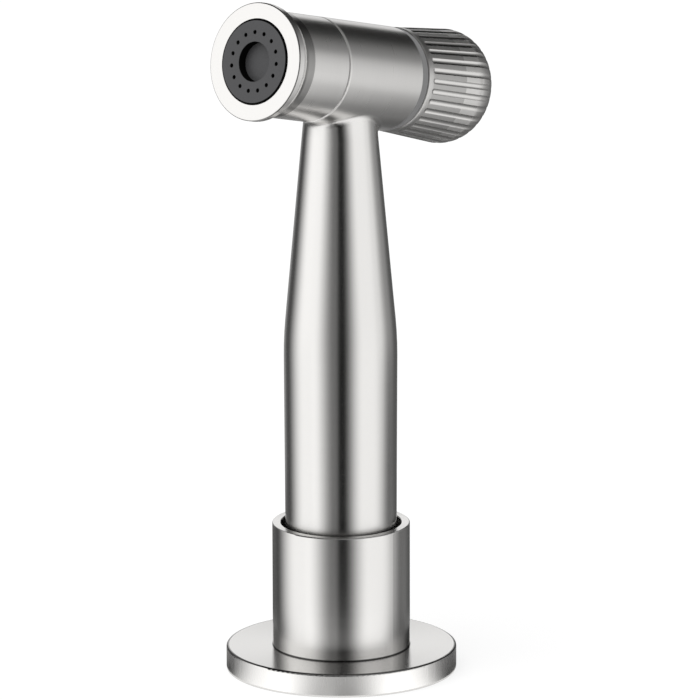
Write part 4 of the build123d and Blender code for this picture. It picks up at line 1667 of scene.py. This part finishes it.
@dataclass
class Studio:
    """A white floor, an even world with a soft sun, a tent of pale panels and the camera.

    Attributes:
        camera_place: Where the camera stands, in metres.
        view_pitch: How far the camera looks down, in radians.
        view_azimuth: The way it looks, as an angle from +y towards +x, in radians.
        view_roll: How far it leans, in radians.
        view_depth: How far it sees, in metres.
        focal_pixels: The focal length in pixels of the photograph's frame.
        frame_pixels: Width of that frame.
        sensor_width: Width of the sensor, in millimetres.
        world_level: Strength of the world's light.
        seen_level: Strength of the world where it is seen.
        sun_strength: Strength of the sun.
        sun_width: Angle that the sun spans, which makes its shadows soft.
        sun_lean: How far the sun stands off the zenith.
        sun_turn: The turn about z of the side that it stands off to.
        floor_radius: Radius of the floor.
        floor_colour: Grey that the floor is painted, as other surfaces are lit by it.
        seen_colour: Grey that the floor is painted where it is seen.
        seen_glow: Strength that it glows with there.
        tent_radius: Radius of the tent.
        tent_height: Height of the tent.
        tent_opening: Radius of the bare floor in its middle.
        tent_lift: Height of the tent's mat above the floor, and half of the height below which
            a point of the tent counts as mat.
        tent_level: Brightness where the tent has no panel.
        eye_height: Height that elevations are measured from.
        apron_reach: How far the pale apron of the mat reaches, which the flange's side shows.
        apron_level: Brightness that the apron adds.
        apron_half_width: Half of the angle that the apron spans, in degrees.
        apron_fade: Angle over which its sides fade.
        half_radius: Half of a mean radius of the cup and the handle. They see the mat from that
            far off the axis, and its directions are put right by it.
        apron_radius: The same for the apron, which the flange sees.
        round_steps: Number of sides of the floor and the tent.
        panels: The panels.
    """

    camera_place: tuple[float, float, float] = (0.9731, -1.0962, 0.4187)
    view_pitch: float = math.radians(13.15)
    view_azimuth: float = math.radians(-41.51)
    view_roll: float = math.radians(-0.14)
    view_depth: float = 50.0
    focal_pixels: float = 6473.0
    frame_pixels: float = 700.0
    sensor_width: float = 36.0
    world_level: float = 0.64
    seen_level: float = 1.0
    sun_strength: float = 1.3
    sun_width: float = math.radians(50)
    sun_lean: float = math.radians(32)
    sun_turn: float = math.radians(-10)
    floor_radius: float = 6.0
    floor_colour: float = 0.8
    seen_colour: float = 0.3
    seen_glow: float = 0.75
    tent_radius: float = 2.5
    tent_height: float = 3.0
    tent_opening: float = 27.2 * MILLIMETRE
    tent_lift: float = 0.4 * MILLIMETRE
    tent_level: float = 0.01
    eye_height: float = 0.1
    apron_reach: float = 50.5 * MILLIMETRE
    apron_level: float = 0.42
    apron_half_width: float = 75.0
    apron_fade: float = 50.0
    half_radius: float = 7.8 * MILLIMETRE
    apron_radius: float = 11.3 * MILLIMETRE
    round_steps: int = 96
    panels: tuple[Panel, ...] = (
        # The face ring, and the left light of the handle, the cup and the flange.
        Panel(-74.5, 36.0, 1.2, left_fade=54, right_fade=50, high=30, rise=16),
        Panel(-82.0, 18.0, 0.2, left_fade=16, right_fade=16, low=-2, high=24, rise=8),
        # The grey on the left of the dark line down the handle and the cup.
        Panel(-32.0, 26.0, 0.18, left_fade=20, right_fade=12, high=18, rise=8),
        # The right light of the handle, the cup and the flange, and most of the barrel.
        Panel(61.5, 35.5, 1.16, left_fade=42, right_fade=50, high=18, rise=8),
        # The barrel's bright upper half, the knob's lands and the handle's right flank.
        Panel(110.0, 22.0, 0.26, left_fade=16, right_fade=30, low=-18, high=30, rise=10),
        # The barrel above that.
        Panel(140.0, 70.0, 0.35, left_fade=40, right_fade=40, low=44, high=88, rise=14),
        # The underside of the barrel and of the knob.
        Panel(125.0, 22.0, 0.08, left_fade=20, right_fade=20, low=-62, high=-30, rise=10),
        # The right and the left of the cup's foot, and what the flange mirrors of them.
        Panel(48.0, 24.0, 0.5, left_fade=20, right_fade=14, low=22, high=38, rise=8),
        Panel(-132.0, 36.0, 0.18, left_fade=20, right_fade=20, low=10, high=34, rise=8),
        # The outermost edges of the handle and the cup, and of the cup's foot.
        Panel(170.0, 56.0, 0.1, left_fade=30, right_fade=30, high=10, rise=8),
        Panel(180.0, 24.0, 0.14, left_fade=20, right_fade=20, high=-64, rise=8),
        # The dark line itself, which is not quite black.
        Panel(0.0, 20.0, 0.045, left_fade=14, right_fade=14, low=6, high=30, rise=10),
        # The thin outline of the handle, and the collar's underside.
        Panel(188.0, 19.0, 0.2, left_fade=14, right_fade=14, low=-30, high=3, rise=6),
        # The flange's top, the cup's rim and the bright line along the barrel's top.
        Panel(181.0, 14.0, 0.98, left_fade=6, right_fade=6, low=3, high=24, rise=7),
        # The front of the cup's rim and of the flange's edge, and the seams of the barrel.
        Panel(0.0, 60.0, 0.25, left_fade=30, right_fade=30, low=42, high=75, rise=14),
    )

    def shoot(self) -> None:
        """Places the camera at the photograph's angle."""
        data = bpy.data.cameras.new("photograph")
        data.sensor_width = self.sensor_width
        data.lens = self.focal_pixels / self.frame_pixels * self.sensor_width
        data.clip_end = self.view_depth
        camera = bpy.data.objects.new("photograph", data)
        aim = Matrix.Rotation(-self.view_azimuth, 4, "Z")
        pitch = Matrix.Rotation(math.pi / 2 - self.view_pitch, 4, "X")
        roll = Matrix.Rotation(self.view_roll, 4, "Z")
        camera.matrix_world = Matrix.Translation(self.camera_place) @ aim @ pitch @ roll
        bpy.context.scene.collection.objects.link(camera)
        bpy.context.scene.camera = camera

    @staticmethod
    def _show(name: str, mesh: bmesh.types.BMesh, material: bpy.types.Material) -> bpy.types.Object:
        """Turns a bmesh into a stage object.

        Args:
            name: The object's name.
            mesh: Its shape, which is freed.
            material: Its material.

        Returns:
            The object.
        """
        data = bpy.data.meshes.new(name)
        mesh.to_mesh(data)
        mesh.free()
        data.materials.append(material)
        made = bpy.data.objects.new(name, data)
        bpy.context.scene.collection.objects.link(made)
        return made

    @staticmethod
    def _seen_share(graph: Graph) -> Signal:
        """Tells the rays that see the background from those that only carry its light.

        Args:
            graph: The graph that gets the nodes.

        Returns:
            1 for rays from the camera, from gloss and through glass, and 0 for others.
        """
        rays = graph.node("ShaderNodeLightPath", output="Is Camera Ray")
        seen = rays + rays.output("Is Glossy Ray") + rays.output("Is Transmission Ray")
        return seen.math("MINIMUM", 1.0)

    def lay_floor(self) -> None:
        """A round white floor at the deck's height, seen from above only.

        Where it is seen, most of its white glows, so that the object's shadow on it stays faint.
        """
        material, graph = new_material("floor")
        seen = self._seen_share(graph)
        colour = graph.blend(seen, grey(self.floor_colour), grey(self.seen_colour))
        paint = graph.node("ShaderNodeBsdfDiffuse", inputs={"Color": colour})
        inputs = {"Color": grey(1.0), "Strength": seen * self.seen_glow}
        glow = graph.node("ShaderNodeEmission", inputs=inputs)
        lit = graph.node("ShaderNodeAddShader", inputs={0: paint, 1: glow})
        clear = graph.node("ShaderNodeBsdfTransparent")
        below = graph.node("ShaderNodeNewGeometry", output="Backfacing")
        surface = graph.node("ShaderNodeMixShader", inputs={0: below, 1: lit, 2: clear})
        graph.add("ShaderNodeOutputMaterial", inputs={"Surface": surface})
        mesh = bmesh.new()
        bmesh.ops.create_circle(
            mesh, cap_ends=True, segments=self.round_steps, radius=self.floor_radius
        )
        self._show("floor", mesh, material)

    def _tent_light(self, graph: Graph) -> Signal:
        """Lights the tent with its panels, by the direction from the object.

        Args:
            graph: The graph that gets the nodes.

        Returns:
            The tent's brightness all round.
        """
        place = graph.node("ShaderNodeTexCoord", output="Object")
        toward_camera = math.atan2(self.camera_place[1], self.camera_place[0])
        inputs = {"Vector": place, "Angle": -toward_camera}
        turned = graph.node("ShaderNodeVectorRotate", {"rotation_type": "Z_AXIS"}, inputs)
        ahead = graph.node("ShaderNodeSeparateXYZ", inputs={0: turned})
        aside = ahead.output("Y")
        height = ahead.output("Z")
        reach = (ahead * ahead + aside * aside) ** 0.5
        bearing = aside.math("ARCTAN2", ahead) * math.degrees(1)
        on_mat = height.math("LESS_THAN", 2 * self.tent_lift)
        on_apron = reach.math("LESS_THAN", self.apron_reach)
        carried = on_mat * self.half_radius + on_apron * (self.apron_radius - self.half_radius)
        azimuth = bearing / (1 - carried / reach)
        azimuth = azimuth.math("MINIMUM", 180.0).math("MAXIMUM", -180.0)
        elevation = (height - self.eye_height).math("ARCTAN2", reach) * math.degrees(1)
        half = self.apron_half_width
        in_front = graph.window(azimuth, -half, half, self.apron_fade)
        light = in_front * on_apron * self.apron_level + self.tent_level
        for panel in self.panels:
            light = panel.glow(graph, azimuth, elevation) + light
        return light

    def hang_tent(self) -> None:
        """The tent that reflections see: a mat on the floor, a round wall and a lid."""
        material, graph = new_material("tent")
        inputs = {"Color": grey(1.0), "Strength": self._tent_light(graph)}
        glow = graph.node("ShaderNodeEmission", inputs=inputs)
        graph.add("ShaderNodeOutputMaterial", inputs={"Surface": glow})
        material.cycles.emission_sampling = "NONE"
        mesh = bmesh.new()
        outline = [
            (self.tent_opening, self.tent_lift),
            (self.tent_radius, self.tent_lift),
            (self.tent_radius, self.tent_height),
            (0.0, self.tent_height),
        ]
        points = [mesh.verts.new((reach, 0.0, height)) for reach, height in outline]
        edges = [mesh.edges.new(pair) for pair in zip(points, points[1:])]
        spin_round(mesh, [*points, *edges], 2 * math.pi, self.round_steps, use_merge=True)
        bmesh.ops.remove_doubles(mesh, verts=mesh.verts, dist=MERGE_DISTANCE)
        tent = self._show("tent", mesh, material)
        tent.visible_camera = False
        tent.visible_diffuse = False
        tent.visible_shadow = False
        tent.visible_transmission = False

    def light(self) -> None:
        """An even white world, which is brighter where it is seen, and one broad soft sun."""
        world = bpy.data.worlds.new("studio")
        bpy.context.scene.world = world
        world.use_nodes = True
        graph = Graph(world.node_tree)
        extra = self.seen_level - self.world_level
        level = self._seen_share(graph) * extra + self.world_level
        inputs = {"Color": grey(1.0), "Strength": level}
        glow = graph.node("ShaderNodeBackground", inputs=inputs)
        graph.add("ShaderNodeOutputWorld", inputs={"Surface": glow})
        lamp = bpy.data.lights.new("soft_sun", "SUN")
        lamp.energy = self.sun_strength
        lamp.angle = self.sun_width
        sun = bpy.data.objects.new("soft_sun", lamp)
        sun.rotation_euler = (self.sun_lean, 0.0, self.sun_turn)
        sun.visible_glossy = False
        bpy.context.scene.collection.objects.link(sun)

    def build(self) -> None:
        """Sets the whole studio up."""
        bpy.context.scene.view_settings.view_transform = "Standard"
        self.lay_floor()
        self.hang_tent()
        self.light()
        self.shoot()


def main() -> None:
    """Builds the sub-assemblies from the deck up, and sets the studio up."""
    logging.basicConfig(level=logging.INFO)
    for assembly in (Holder(), Fixing(), Handset(), Valve(), Control(), Inlet()):
        assembly.build()
    Studio().build()


if __name__ == "__main__":
    main()
